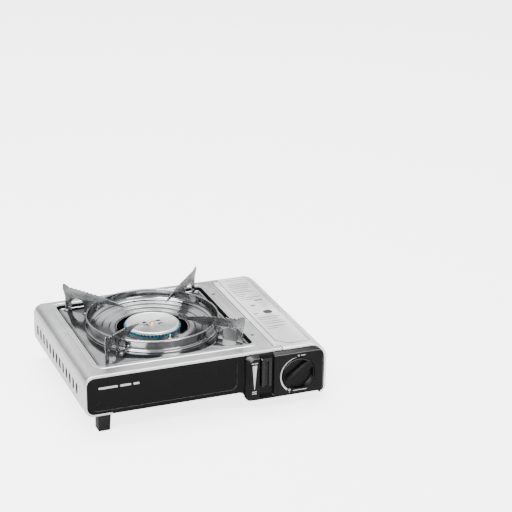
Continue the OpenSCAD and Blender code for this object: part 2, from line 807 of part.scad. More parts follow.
module burner_cap_screw() {
    color("#c9a24a") on_burner() {
        translate([0, 0, body_rim_z - 11]) cylinder(r = screw_r - 0.02, h = cap_z - 0.8 - body_rim_z + 11);
        translate([0, 0, cap_z - 0.8]) cylinder(r = 4, h = 1.4);
    }
}

module burner_bracket() {
    t = 1.5;
    w = 26;
    z0 = inner_floor + sheet_t;
    color("silver") difference() {
        on_burner() union() {
            translate([-burner_leg_dx, -w / 2, hub_z - t]) cube([2 * burner_leg_dx, w, t]);
            for (s = [-1, 1]) {
                translate([s * (burner_leg_dx - t / 2) - t / 2, -w / 2, z0]) cube([t, w, hub_z - z0]);
                translate([s * (burner_leg_dx + 5) - 6, -w / 2, z0]) cube([12, w, t]);
            }
        }
        on_mix_axis() rotate([0, 90, 0]) cylinder(r = mix_r + 2.5, h = stub_end + 10);
        for (s = [-1, 1]) on_burner() translate([s * 8, 0, hub_z - 3]) cylinder(r = screw_r / 2, h = 5);
        chassis_screw_places() cylinder(r = screw_r / 2, h = 3 * through, center = true);
    }
}

// ---- Ignition ----

module piezo_igniter() {
    color("#3a3b3f") {
        rod_y(igniter_x, igniter_z, igniter_r, body_y, body_y + 15);
        rod_y(igniter_x, igniter_z, 3, body_y + 15, body_y + 17);
    }
}

electrode_x = burner_x + electrode_r * cos(electrode_angle);
electrode_y = burner_y + electrode_r * sin(electrode_angle);
electrode_low = body_rim_z - 22;

module ignition_lead() {
    color("#b8b8b8") elbowed([[igniter_x, outlet_y, igniter_z + igniter_r], [igniter_x, outlet_y, lead_z],
        [wall_x - 26, outlet_y, lead_z], [wall_x - 26, outlet_y, electrode_low - 6],
        [electrode_x, electrode_y, electrode_low - 6], [electrode_x, electrode_y, electrode_low]], lead_r);
}

module spark_electrode() {
    color("white") translate([electrode_x, electrode_y, 0]) {
        translate([0, 0, electrode_low]) cylinder(r = 2.15, h = 20);
        translate([0, 0, electrode_low + 20]) cylinder(r = 0.7, h = 6);
    }
}

// ---- Lift-off pan support ----

module drip_tray() {
    color("#d5d7da") difference() {
        union() {
            difference() {
                translate([0, 0, ledge_z + seat_gap]) linear_extrude(height = tray_z - ledge_z - seat_gap)
                    rounded(tray_x, tray_y, tray_x + tray_w, tray_y + tray_d, 5, 5, 5, 5);
                translate([0, 0, ledge_z - 1]) linear_extrude(height = tray_z - ledge_z + 1 - sheet_t)
                    rounded(tray_x + sheet_t, tray_y + sheet_t, tray_x + tray_w - sheet_t,
                        tray_y + tray_d - sheet_t, 4.2, 4.2, 4.2, 4.2);
            }
            on_burner() rotate_extrude() polygon([
                [collar_r, tray_z - sheet_t], [collar_r + 4, tray_z - sheet_t],
                [collar_r + 4, tray_z], [collar_r + 3.6, tray_z + 1.6], [collar_r + 2.4, tray_z + 2.8],
                [collar_r + 0.8, tray_z + 3.2], [collar_r + 0.8, tray_z + 4.4], [collar_r, tray_z + 4.4]]);
        }
        on_burner() translate([0, 0, ledge_z - 1]) cylinder(r = collar_r, h = 30);
        support_rivet_places() translate([0, 0, tray_z - 4]) cylinder(r = rivet_r, h = 8);
    }
}

// Pressed dish: rolled rim, steep wall, three shallow steps and a turned-up edge at the hole
module wind_ring() {
    wall_r = collar_r - seat_gap;
    floor_z = tray_z + 2.2;
    step = 1.7;
    t = sheet_t;
    r1 = wall_r - 9;
    r2 = wall_r - 19;
    r3 = wall_r - 29;
    color("#cfd1d4") on_burner() rotate_extrude() {
        polygon([[wall_r, tray_z + 4.6], [ring_r - 1.4, ring_z - 1.4], [ring_r - 1.4 - t, ring_z - 1.4],
            [wall_r - 1.4, floor_z + 2.6], [wall_r - 3, floor_z + 1], [wall_r - 5, floor_z + 0.4],
            [r1, floor_z], [r1 - 1.5, floor_z - step], [r2, floor_z - step - 0.3],
            [r2 - 1.5, floor_z - 2 * step],
            [r3, floor_z - 2 * step - 0.3], [r3 - 1.5, floor_z - 3 * step + 0.6],
            [ring_hole_r + 1.5, floor_z - 3 * step + 0.4], [ring_hole_r, floor_z - 3 * step + 1.4],
            [ring_hole_r, floor_z - 3 * step + 0.4 - t], [r3 - 1.2, floor_z - 3 * step + 0.6 - t],
            [r3, floor_z - 2 * step - 0.3 - t], [r2 - 1.2, floor_z - 2 * step - t],
            [r2, floor_z - step - 0.3 - t], [r1 - 1.2, floor_z - step - t], [r1, floor_z - t],
            [wall_r - 4.6, floor_z + 0.4 - t], [wall_r - 2, floor_z - 0.2]]);
        translate([ring_r - 1.4, ring_z - 1.4]) circle(1.4, $fn = 24);
    }
}

// Outline of a support in distance from the burner's axis and height
module support_outline() {
    rim_in = ring_r - 3.6;
    rim_out = ring_r + 1.2;
    reach = support_reach;
    tip = support_z;
    difference() {
        polygon([[leg_in, tray_z], [reach, tray_z], [reach, tip - 20.7], [reach + 3, tip - 9],
            [reach + 3, tip - 3], [reach + 2, tip], [reach + 0.6, tip - 0.2], [reach - 7, tip - 3.7],
            [81, tip - 9.3], [73, tip - 11.7], [56, tip - 15.4], [39.3, tip - 19.2], [39.3, tip - 20.4],
            [62, tip - 21.2], [rim_in, tip - 25.5], [rim_in, ring_z + 0.1], [rim_out, ring_z + 0.1],
            [leg_in, ring_z - 5]]);
        translate([arch_mid, ring_z - 8.8]) circle(arch_w / 2);
        translate([arch_mid - arch_w / 2, tray_z - 1]) square([arch_w, ring_z - 8.8 - tray_z + 1]);
        for (i = [0 : tooth_n - 1]) translate([reach - 14 - i * 12, tip - 4.4 - i * 1.3]) circle(1, $fn = 24);
    }
}

module pan_support(i) {
    color("#c2c4c7") on_burner() rotate([0, 0, support_angles[i]]) {
        translate([0, support_t / 2, 0]) rotate([90, 0, 0]) linear_extrude(height = support_t)
            support_outline();
        for (r = [leg_in, support_reach - leg_w]) difference() {
            translate([r + leg_w / 2, flange_sides[i] * flange_mid, tray_z + support_t / 2])
                cube([leg_w - 2, foot_flange_w, support_t], center = true);
            translate([r + leg_w / 2, flange_sides[i] * flange_mid, tray_z - 1]) cylinder(r = rivet_r, h = 4);
        }
    }
}

module pan_support_1() { pan_support(0); }
module pan_support_2() { pan_support(1); }
module pan_support_3() { pan_support(2); }
module pan_support_4() { pan_support(3); }

module support_rivet_places() {
    for (i = [0 : 3], r = [leg_in, support_reach - leg_w]) on_burner() rotate([0, 0, support_angles[i]])
        translate([r + leg_w / 2, flange_sides[i] * flange_mid, 0]) children();
}

module support_rivets() {
    color("silver") support_rivet_places() {
        translate([0, 0, tray_z - sheet_t]) cylinder(r = rivet_r, h = sheet_t + support_t);
        translate([0, 0, tray_z + support_t]) cylinder(r = rivet_r + 1, h = 0.8);
        translate([0, 0, tray_z - sheet_t - 0.6]) cylinder(r = rivet_r + 1, h = 0.6);
    }
}

// ---- Feet ----

module tall_foot(y) {
    top = under_z;
    color("#1a1a1b") difference() {
        hull() {
            translate([tall_foot_x, y, 0]) cube([tall_foot_w - 1.5, tall_foot_d, 1]);
            translate([tall_foot_x, y, top - 1]) cube([tall_foot_w, tall_foot_d, 1]);
        }
        translate([tall_foot_screw_x, y + tall_foot_d / 2, -1]) cylinder(r = screw_r + 1.5, h = 17);
        translate([tall_foot_screw_x, y + tall_foot_d / 2, -1]) cylinder(r = screw_hole_r, h = 40);
    }
}

module short_foot(y) {
    color("#1a1a1b") difference() {
        translate([short_foot_x, y, 0]) cylinder(r1 = short_foot_r - 1, r2 = short_foot_r, h = tray_floor_z);
        translate([short_foot_x, y, -1]) cylinder(r = screw_r + 1.5, h = tray_floor_z - 2);
        translate([short_foot_x, y, -1]) cylinder(r = screw_hole_r, h = 40);
    }
}

module tall_foot_front() { tall_foot(front_y + tall_foot_back); }
module tall_foot_rear() { tall_foot(rear_y - tall_foot_back - tall_foot_d); }
module short_foot_front() { short_foot(front_y + short_foot_back); }
module short_foot_rear() { short_foot(rear_y - short_foot_back); }

// ---- Fasteners ----

module housing_screws() {
    color("#6c6f73") housing_screw_places() {
        rod_y(0, 0, screw_r / 2, panel_y - 5.5, panel_back_y);
        rod_y(0, 0, screw_r, panel_back_y, panel_back_y + 1.6);
    }
}

module chassis_screw_places() {
    for (s = [-1, 1]) on_burner() translate([s * (burner_leg_dx + 6), 0, 0]) children();
    translate(mix_point(nozzle_start + 2, 0)) children();
}

module tall_foot_screw_places() {
    for (y = [front_y + tall_foot_back, rear_y - tall_foot_back - tall_foot_d])
        translate([tall_foot_screw_x, y + tall_foot_d / 2, 0]) children();
}

module tray_screw_places() {
    for (s = [-1, 1]) translate([axis_x + s * 16, bracket_y + 7, 0]) children();
    for (y = [front_y + short_foot_back, rear_y - short_foot_back])
        translate([short_foot_x, y, 0]) children();
}

module chassis_screws() {
    r = screw_r / 2;
    color("#6c6f73") {
        chassis_screw_places() screw_up(0, 0, inner_floor, r, 5, screw_r, 0.7);
        for (s = [-1, 1])
            translate([axis_x + s * 16, bracket_y + 7, 0]) screw_up(0, 0, tray_floor_z, r, 5, screw_r, 1.2);
        for (y = [front_y + short_foot_back, rear_y - short_foot_back])
            translate([short_foot_x, y, 0]) screw_up(0, 0, tray_floor_z - 3, r, 4, screw_r + 0.5, 1.5);
        tall_foot_screw_places() screw_up(0, 0, 16, r, 14, screw_r + 0.5, 1.8);
        for (s = [-1, 1])
            on_burner() translate([s * 8, 0, 0]) screw_up(0, 0, hub_z - 1.5, r, 5, screw_r, 1.5);
    }
}

module deck_rivets() {
    color("#77797c") for (y = deck_rivet_y) translate([deck_rivet_x, y, 0]) {
        translate([0, 0, inner_top - sheet_t]) cylinder(r = rivet_r, h = 2 * sheet_t);
        translate([0, 0, top_z]) cylinder(r = rivet_r + 0.8, h = 0.5);
        translate([0, 0, inner_top - sheet_t - 0.6]) cylinder(r = rivet_r + 0.8, h = 0.6);
    }
}

body_shell();
front_panel();
back_panel();
bottom_plate();
partition_wall();
cartridge_tray();
control_housing();
control_knob();
valve_spindle();
lock_lever();
lid();
hinge_pins();
valve_bracket();
regulator_body();
diaphragm_cover();
port_seal();
cartridge_yoke();
guide_rods();
gas_tube();
jet_nozzle();
nozzle_bracket();
mixing_tube();
burner_body();
burner_port_ring();
burner_cap();
burner_cap_screw();
burner_bracket();
piezo_igniter();
ignition_lead();
spark_electrode();
drip_tray();
wind_ring();
pan_support_1();
pan_support_2();
pan_support_3();
pan_support_4();
support_rivets();
tall_foot_front();
tall_foot_rear();
short_foot_front();
short_foot_rear();
housing_screws();
chassis_screws();
deck_rivets();
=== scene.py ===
"""Looks of a portable single-burner gas stove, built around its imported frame.

The frame gives every size and place. Each sub-assembly is a class, each finish is a small frozen
dataclass, and main() builds them in order and logs each piece.
"""

import json
import logging
import math
from dataclasses import dataclass
from enum import Enum
from typing import Callable, Sequence

import bmesh
import bpy
import numpy as np
from mathutils import Matrix, Vector

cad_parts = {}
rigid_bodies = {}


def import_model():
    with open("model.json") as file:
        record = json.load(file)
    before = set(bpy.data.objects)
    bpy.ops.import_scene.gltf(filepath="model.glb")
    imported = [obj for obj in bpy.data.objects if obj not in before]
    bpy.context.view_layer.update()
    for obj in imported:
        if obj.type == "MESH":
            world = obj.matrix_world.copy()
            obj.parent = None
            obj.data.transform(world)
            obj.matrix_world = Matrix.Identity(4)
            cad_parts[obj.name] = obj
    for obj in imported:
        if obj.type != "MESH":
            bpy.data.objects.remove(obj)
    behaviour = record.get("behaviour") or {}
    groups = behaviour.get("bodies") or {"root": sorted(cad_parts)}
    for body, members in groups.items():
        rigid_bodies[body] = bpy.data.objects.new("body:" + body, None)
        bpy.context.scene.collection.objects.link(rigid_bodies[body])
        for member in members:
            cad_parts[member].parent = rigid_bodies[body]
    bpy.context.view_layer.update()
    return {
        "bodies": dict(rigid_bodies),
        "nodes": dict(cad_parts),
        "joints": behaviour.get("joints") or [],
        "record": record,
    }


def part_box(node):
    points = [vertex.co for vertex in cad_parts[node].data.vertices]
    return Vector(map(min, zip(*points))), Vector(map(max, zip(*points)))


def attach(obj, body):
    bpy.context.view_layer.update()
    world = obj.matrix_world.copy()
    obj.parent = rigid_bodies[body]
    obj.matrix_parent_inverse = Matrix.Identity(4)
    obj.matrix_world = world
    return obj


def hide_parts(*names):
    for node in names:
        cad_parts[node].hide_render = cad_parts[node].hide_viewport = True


log = logging.getLogger("stove")
MM = 0.001
SMOOTH_ANGLE = math.radians(34)
Point = tuple[float, float]


class Body(Enum):
    """Bodies of the frame that a piece can ride on."""

    CASE = "case"
    PAN = "pan_support"
    LID = "lid"
    KNOB = "knob"
    LEVER = "lever"
    YOKE = "yoke"


class Slot(Enum):
    """Material slots of the record."""

    SATIN_STEEL = "satin_steel"
    LID_STEEL = "lid_steel"
    BLACK_PANEL = "black_panel"
    BLACK_PLASTIC = "black_plastic"
    KNOB_PLASTIC = "knob_plastic"
    MIRROR_STEEL = "mirror_steel"
    ZINC_STEEL = "zinc_steel"
    CAST_ALLOY = "cast_alloy"
    PORT_RING = "port_ring"
    CAP_STEEL = "cap_steel"
    BRASS = "brass"
    COPPER = "copper"
    RUBBER = "rubber"
    CERAMIC = "ceramic"
    LEAD = "lead"


# ---------------------------------------------------------------- finishes


class NodeGroups:
    """Shader node groups that several finishes share, each built once."""

    def __init__(self) -> None:
        """Builds the groups."""
        self.grain = self._grain()
        self.smudge = self._smudge()
        self.pebble = self._pebble()
        self.highlight_mask = self._highlight_mask()

    @staticmethod
    def _sockets(tree: bpy.types.NodeTree, ins: Sequence[tuple], outs: Sequence[tuple]) -> tuple:
        """Adds the sockets of a group.

        Args:
            tree: The group's tree.
            ins: Name, socket type and default of each input.
            outs: Name and socket type of each output.

        Returns:
            The group's input node and output node.
        """
        for name, kind, default in ins:
            socket = tree.interface.new_socket(name, in_out="INPUT", socket_type=kind)
            if default is not None:
                socket.default_value = default
        for name, kind in outs:
            tree.interface.new_socket(name, in_out="OUTPUT", socket_type=kind)
        return tree.nodes.new("NodeGroupInput"), tree.nodes.new("NodeGroupOutput")

    def _grain(self) -> bpy.types.NodeTree:
        """Returns brushed or rolled grain: noise drawn out along one direction."""
        tree = bpy.data.node_groups.new("rolled_grain", "ShaderNodeTree")
        inp, out = self._sockets(
            tree,
            [("Vector", "NodeSocketVector", None), ("Stretch", "NodeSocketVector", (1.0, 1.0, 1.0)),
             ("Scale", "NodeSocketFloat", 600.0), ("Detail", "NodeSocketFloat", 3.0)],
            [("Value", "NodeSocketFloat")],
        )
        mapping = tree.nodes.new("ShaderNodeMapping")
        noise = tree.nodes.new("ShaderNodeTexNoise")
        noise.inputs["Roughness"].default_value = 0.6
        tree.links.new(inp.outputs["Vector"], mapping.inputs["Vector"])
        tree.links.new(inp.outputs["Stretch"], mapping.inputs["Scale"])
        tree.links.new(mapping.outputs["Vector"], noise.inputs["Vector"])
        tree.links.new(inp.outputs["Scale"], noise.inputs["Scale"])
        tree.links.new(inp.outputs["Detail"], noise.inputs["Detail"])
        tree.links.new(noise.outputs["Fac"], out.inputs["Value"])
        return tree

    def _highlight_mask(self) -> bpy.types.NodeTree:
        """Returns the mask of a painted highlight: edges that face one way, towards the lamps, get a lighter
        colour as if they caught the light.
        """
        tree = bpy.data.node_groups.new("burnished_edge", "ShaderNodeTree")
        inp, out = self._sockets(
            tree,
            [("Vector", "NodeSocketVector", None), ("Facing", "NodeSocketVector", (0.0, 0.0, 1.0)),
             ("Flat From", "NodeSocketFloat", 0.90), ("Flat To", "NodeSocketFloat", 0.68)],
            [("Value", "NodeSocketFloat")],
        )
        facing = tree.nodes.new("ShaderNodeVectorMath")
        facing.operation = "DOT_PRODUCT"
        rise = tree.nodes.new("ShaderNodeMapRange")
        rise.inputs["From Min"].default_value = 0.25
        rise.inputs["From Max"].default_value = 0.55
        fall = tree.nodes.new("ShaderNodeMapRange")
        both = tree.nodes.new("ShaderNodeMath")
        both.operation = "MULTIPLY"
        link = tree.links.new
        link(inp.outputs["Vector"], facing.inputs[0])
        link(inp.outputs["Facing"], facing.inputs[1])
        link(facing.outputs["Value"], rise.inputs["Value"])
        link(facing.outputs["Value"], fall.inputs["Value"])
        link(inp.outputs["Flat From"], fall.inputs["From Min"])
        link(inp.outputs["Flat To"], fall.inputs["From Max"])
        link(rise.outputs["Result"], both.inputs[0])
        link(fall.outputs["Result"], both.inputs[1])
        link(both.outputs["Value"], out.inputs["Value"])
        return tree

    def _smudge(self) -> bpy.types.NodeTree:
        """Returns soft large patches, such as handling marks, between two values."""
        tree = bpy.data.node_groups.new("handling_smudge", "ShaderNodeTree")
        inp, out = self._sockets(
            tree,
            [("Vector", "NodeSocketVector", None), ("Scale", "NodeSocketFloat", 22.0),
             ("Low", "NodeSocketFloat", 0.2), ("High", "NodeSocketFloat", 0.3)],
            [("Value", "NodeSocketFloat")],
        )
        noise = tree.nodes.new("ShaderNodeTexNoise")
        noise.inputs["Detail"].default_value = 4.0
        noise.inputs["Distortion"].default_value = 0.6
        span = tree.nodes.new("ShaderNodeMapRange")
        span.inputs["From Min"].default_value = 0.35
        span.inputs["From Max"].default_value = 0.68
        tree.links.new(inp.outputs["Vector"], noise.inputs["Vector"])
        tree.links.new(inp.outputs["Scale"], noise.inputs["Scale"])
        tree.links.new(noise.outputs["Fac"], span.inputs["Value"])
        tree.links.new(inp.outputs["Low"], span.inputs["To Min"])
        tree.links.new(inp.outputs["High"], span.inputs["To Max"])
        tree.links.new(span.outputs["Result"], out.inputs["Value"])
        return tree

    def _pebble(self) -> bpy.types.NodeTree:
        """Returns the fine pebbled grain of moulded plastic or cast metal."""
        tree = bpy.data.node_groups.new("moulded_pebble", "ShaderNodeTree")
        inp, out = self._sockets(
            tree,
            [("Vector", "NodeSocketVector", None), ("Scale", "NodeSocketFloat", 1200.0)],
            [("Value", "NodeSocketFloat")],
        )
        cells = tree.nodes.new("ShaderNodeTexVoronoi")
        cells.feature = "SMOOTH_F1"
        noise = tree.nodes.new("ShaderNodeTexNoise")
        noise.inputs["Detail"].default_value = 2.0
        mix = tree.nodes.new("ShaderNodeMath")
        mix.operation = "ADD"
        for node in (cells, noise):
            tree.links.new(inp.outputs["Vector"], node.inputs["Vector"])
            tree.links.new(inp.outputs["Scale"], node.inputs["Scale"])
        tree.links.new(cells.outputs["Distance"], mix.inputs[0])
        tree.links.new(noise.outputs["Fac"], mix.inputs[1])
        tree.links.new(mix.outputs["Value"], out.inputs["Value"])
        return tree


@dataclass(frozen=True)
class Finish:
    """A surface finish that becomes one procedural material.

    Colours are linear. The two colours are blended by large soft patches, roughness varies
    between two values by handling marks, and the bump comes from grain or pebble.
    """

    name: str
    color: tuple[float, float, float]
    color_2: tuple[float, float, float]
    rough: tuple[float, float]
    metallic: float = 0.0
    stretch: tuple[float, float, float] = (1.0, 1.0, 1.0)
    scale: float = 900.0
    bump: float = 0.0
    pebbled: bool = False
    grain_rough: float = 0.0
    coat: float = 0.0
    anisotropic: float = 0.0
    specular: float = 0.5
    patch_scale: float = 20.0
    # Painted glow: strength at which the colour is also emitted, so the surface glows though it is no lamp.
    painted_glow: float = 0.0
    # Painted highlight: grey that lightens the base colour on edges facing the light; the next two fields set that
    # facing and where flat faces drop out.
    painted_highlight: float = 0.0
    highlight_facing: tuple[float, float, float] = (0.0, 0.0, 1.0)
    highlight_flat: float = 0.90

    def build(self, groups: NodeGroups) -> bpy.types.Material:
        """Builds the material.

        Args:
            groups: The shared node groups.

        Returns:
            The material.
        """
        material = bpy.data.materials.new(self.name)
        material.use_nodes = True
        tree = material.node_tree
        nodes, link = tree.nodes, tree.links.new
        shader = nodes["Principled BSDF"]
        shader.inputs["Metallic"].default_value = self.metallic
        shader.inputs["Coat Weight"].default_value = self.coat
        shader.inputs["Coat Roughness"].default_value = 0.12
        shader.inputs["Anisotropic"].default_value = self.anisotropic
        shader.inputs["Specular IOR Level"].default_value = self.specular
        coords = nodes.new("ShaderNodeTexCoord")

        def group(tree_data: bpy.types.NodeTree, **values: object) -> bpy.types.Node:
            """Places a group, feeds it Object coordinates and sets its inputs."""
            node = nodes.new("ShaderNodeGroup")
            node.node_tree = tree_data
            link(coords.outputs["Object"], node.inputs["Vector"])
            for key, value in values.items():
                node.inputs[key].default_value = value
            return node

        patches = group(groups.smudge, Scale=self.patch_scale, Low=0.0, High=1.0)
        tint = nodes.new("ShaderNodeMix")
        tint.data_type = "RGBA"
        tint.inputs["A"].default_value = (*self.color, 1.0)
        tint.inputs["B"].default_value = (*self.color_2, 1.0)
        link(patches.outputs["Value"], tint.inputs["Factor"])
        surface = tint.outputs["Result"]
        # Painted highlight: the base colour is lightened on edges that face the light, standing in for the shine
        # they would catch.
        if self.painted_highlight > 0:
            mask = nodes.new("ShaderNodeGroup")
            mask.node_tree = groups.highlight_mask
            link(coords.outputs["Normal"], mask.inputs["Vector"])
            mask.inputs["Facing"].default_value = self.highlight_facing
            mask.inputs["Flat From"].default_value = self.highlight_flat
            mask.inputs["Flat To"].default_value = self.highlight_flat - 0.22
            edge = nodes.new("ShaderNodeMix")
            edge.data_type = "RGBA"
            edge.inputs["B"].default_value = (self.painted_highlight, self.painted_highlight, self.painted_highlight, 1.0)
            link(mask.outputs["Value"], edge.inputs["Factor"])
            link(surface, edge.inputs["A"])
            surface = edge.outputs["Result"]
        link(surface, shader.inputs["Base Color"])
        # Painted glow: the colour is emitted, so the part shines though it is no lamp.
        if self.painted_glow > 0:
            link(tint.outputs["Result"], shader.inputs["Emission Color"])
            shader.inputs["Emission Strength"].default_value = self.painted_glow

        marks = group(groups.smudge, Scale=self.patch_scale * 2.3, Low=self.rough[0], High=self.rough[1])
        if self.pebbled:
            grain = group(groups.pebble, Scale=self.scale)
        else:
            grain = group(groups.grain, Scale=self.scale, Stretch=self.stretch)
        if self.grain_rough > 0:
            add = nodes.new("ShaderNodeMath")
            add.operation = "MULTIPLY_ADD"
            add.inputs[1].default_value = self.grain_rough
            link(grain.outputs["Value"], add.inputs[0])
            link(marks.outputs["Value"], add.inputs[2])
            link(add.outputs["Value"], shader.inputs["Roughness"])
        else:
            link(marks.outputs["Value"], shader.inputs["Roughness"])
        if self.bump > 0:
            bump = nodes.new("ShaderNodeBump")
            bump.inputs["Strength"].default_value = self.bump
            bump.inputs["Distance"].default_value = 0.05 * MM
            link(grain.outputs["Value"], bump.inputs["Height"])
            link(bump.outputs["Normal"], shader.inputs["Normal"])
        return material


ALONG_Y = (1.0, 0.02, 1.0)
FINISHES: dict[str, Finish] = {
    Slot.SATIN_STEEL.value: Finish(
        "satin_steel", (0.60, 0.605, 0.61), (0.52, 0.525, 0.53), (0.25, 0.31), metallic=1.0,
        stretch=ALONG_Y, scale=1500.0, bump=0.10, grain_rough=0.07, anisotropic=0.35),
    Slot.LID_STEEL.value: Finish(
        "lid_steel", (0.90, 0.90, 0.90), (0.85, 0.85, 0.855), (0.34, 0.40), metallic=1.0,
        stretch=ALONG_Y, scale=1500.0, bump=0.08, grain_rough=0.06, anisotropic=0.3),
    Slot.MIRROR_STEEL.value: Finish(
        "mirror_steel", (0.35, 0.355, 0.36), (0.17, 0.174, 0.178), (0.07, 0.12), metallic=1.0,
        scale=60.0, bump=0.5, grain_rough=0.02),
    "fin_steel": Finish(
        "fin_steel", (0.21, 0.212, 0.215), (0.12, 0.122, 0.125), (0.19, 0.27), metallic=1.0,
        stretch=(0.06, 0.06, 1.0), scale=380.0, bump=0.28, grain_rough=0.06, patch_scale=55.0),
    # Painted shade: near-black steel for the recess ledge and the band behind the burner's teeth, standing in for
    # the shade in those gaps.
    "gap_steel": Finish(
        "gap_steel", (0.012, 0.012, 0.012), (0.02, 0.02, 0.02), (0.5, 0.65), metallic=1.0, scale=500.0,
        bump=0.1),
    # Inner sides and cut edges: rougher than the outside, and far darker as painted shade inside the case and in
    # the slots.
    "inner_steel": Finish(
        "inner_steel", (0.055, 0.055, 0.056), (0.085, 0.085, 0.086), (0.38, 0.5), metallic=1.0,
        scale=500.0, bump=0.1),
    Slot.ZINC_STEEL.value: Finish(
        "zinc_steel", (0.50, 0.51, 0.53), (0.42, 0.44, 0.46), (0.26, 0.40), metallic=1.0,
        scale=400.0, bump=0.15, grain_rough=0.1, patch_scale=60.0),
    Slot.CAST_ALLOY.value: Finish(
        "cast_alloy", (0.42, 0.43, 0.45), (0.36, 0.37, 0.39), (0.42, 0.55), metallic=1.0,
        scale=1400.0, bump=0.5, pebbled=True, patch_scale=50.0),
    # Painted highlight on edges that face up and to the left, towards the key light.
    Slot.BLACK_PANEL.value: Finish(
        "black_panel", (0.0036, 0.0036, 0.0038), (0.0041, 0.0041, 0.0043), (0.25, 0.28),
        scale=1100.0, bump=0.05, pebbled=True, specular=0.06, painted_highlight=0.11,
        highlight_facing=(-0.5, 0.0, 0.87), highlight_flat=2.0),
    # Painted highlight on edges that face up.
    Slot.BLACK_PLASTIC.value: Finish(
        "black_plastic", (0.0040, 0.0040, 0.0043), (0.0060, 0.0060, 0.0063), (0.26, 0.36),
        scale=1500.0, bump=0.30, pebbled=True, specular=0.08, painted_highlight=0.09),
    # Painted highlight on the knob's edges that face up.
    Slot.KNOB_PLASTIC.value: Finish(
        "knob_plastic", (0.0020, 0.0020, 0.0022), (0.0035, 0.0035, 0.0037), (0.18, 0.28),
        scale=1800.0, bump=0.2, pebbled=True, specular=0.10, painted_highlight=0.045),
    # Teal port ring with a painted glow: its colour is emitted like the burner's blue flame, though the ring is no
    # lamp.
    Slot.PORT_RING.value: Finish(
        "port_ring", (0.003, 0.105, 0.15), (0.003, 0.075, 0.12), (0.28, 0.4), metallic=0.35,
        scale=700.0, bump=0.3, pebbled=True, painted_glow=0.35, patch_scale=60.0),
    Slot.CAP_STEEL.value: Finish(
        "cap_steel", (0.74, 0.74, 0.745), (0.68, 0.68, 0.69), (0.24, 0.32), metallic=1.0,
        stretch=(1.0, 0.05, 1.0), scale=1300.0, bump=0.08, grain_rough=0.08),
    Slot.BRASS.value: Finish(
        "brass", (0.72, 0.46, 0.14), (0.62, 0.38, 0.11), (0.18, 0.28), metallic=1.0,
        scale=900.0, bump=0.1),
    Slot.COPPER.value: Finish(
        "copper", (0.62, 0.30, 0.16), (0.52, 0.24, 0.12), (0.22, 0.34), metallic=1.0,
        scale=500.0, bump=0.1),
    Slot.RUBBER.value: Finish(
        "rubber", (0.0035, 0.0035, 0.0035), (0.0055, 0.0055, 0.0055), (0.4, 0.55),
        scale=1300.0, bump=0.5, pebbled=True, specular=0.18),
    Slot.CERAMIC.value: Finish(
        "ceramic", (0.72, 0.70, 0.64), (0.66, 0.64, 0.58), (0.15, 0.25),
        scale=500.0, bump=0.05, coat=0.4),
    Slot.LEAD.value: Finish(
        "lead", (0.30, 0.30, 0.29), (0.26, 0.26, 0.25), (0.4, 0.5), scale=800.0, bump=0.1),
    # Painted highlight on the lever's edges that face up.
    "lever_plastic": Finish(
        "lever_plastic", (0.006, 0.006, 0.0064), (0.009, 0.009, 0.0094), (0.22, 0.32),
        scale=1500.0, bump=0.3, pebbled=True, specular=0.2, painted_highlight=0.20),
    "rivet_dark": Finish(
        "rivet_dark", (0.05, 0.05, 0.05), (0.08, 0.08, 0.08), (0.3, 0.45), metallic=1.0, scale=900.0,
        bump=0.1),
    "print_white": Finish(
        "print_white", (0.40, 0.40, 0.395), (0.34, 0.34, 0.335), (0.4, 0.5), scale=900.0, bump=0.1),
    # Grey ink for the lid's printed bars, and for the line over the label's groove, which is painted shade.
    "print_grey": Finish(
        "print_grey", (0.10, 0.10, 0.102), (0.14, 0.14, 0.142), (0.45, 0.55), scale=900.0, bump=0.1),
    "print_dark": Finish(
        "print_dark", (0.008, 0.008, 0.009), (0.014, 0.014, 0.015), (0.45, 0.55), scale=900.0, bump=0.1),
}


class Workshop:
    """Holds the frame and the materials, and finishes each piece the same way."""

    def __init__(self, frame: dict) -> None:
        """Builds every material.
        """
        self.frame = frame
        groups = NodeGroups()
        self.materials = {name: finish.build(groups) for name, finish in FINISHES.items()}
        record = frame["record"]
        self.node_slot = {s["node"]: s["material_slot"] for s in record["subparts"]}
        self.repeater = Repeater()

    def dress_nodes(self) -> None:
        """Gives every carried-over node of the frame its slot's material."""
        for name, node in self.frame["nodes"].items():
            node.data.materials.clear()
            node.data.materials.append(self.materials[self.node_slot[name]])

    def line(self, obj: bpy.types.Object, outer: int, finish: str) -> None:
        """Gives a sheet's inner side and cut edges their own finish: duller, and far darker as painted shade
        inside the case and in its slots.

        Args:
            obj: The sheet, whose outer faces come first.
            outer: How many faces are on its outer side.
            finish: Name of the material of the others.
        """
        obj.data.materials.append(self.materials[finish])
        index = np.zeros(len(obj.data.polygons), dtype=np.int32)
        index[outer:] = 1
        obj.data.polygons.foreach_set("material_index", index)
        obj.data.update()

    def add(self, obj: bpy.types.Object, finish: str, body: Body, slot: Slot | None = None,
            stands_for: Sequence[str] = ()) -> bpy.types.Object:
        """Finishes one piece: material, body and the nodes it stands for.

        Args:
            obj: The piece, already a plain mesh in place.
            finish: Name of its material.
            body: Body it rides on.
            slot: Not used.
            stands_for: Nodes of the frame that it replaces.

        Returns:
            The piece.
        """
        if not obj.data.materials:
            obj.data.materials.append(self.materials[finish])
        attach(obj, body.value)
        if stands_for:
            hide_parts(*stands_for)
        log.info("piece %s: %d faces on %s", obj.name, len(obj.data.polygons), body.value)
        return obj


# ---------------------------------------------------------------- mesh tools


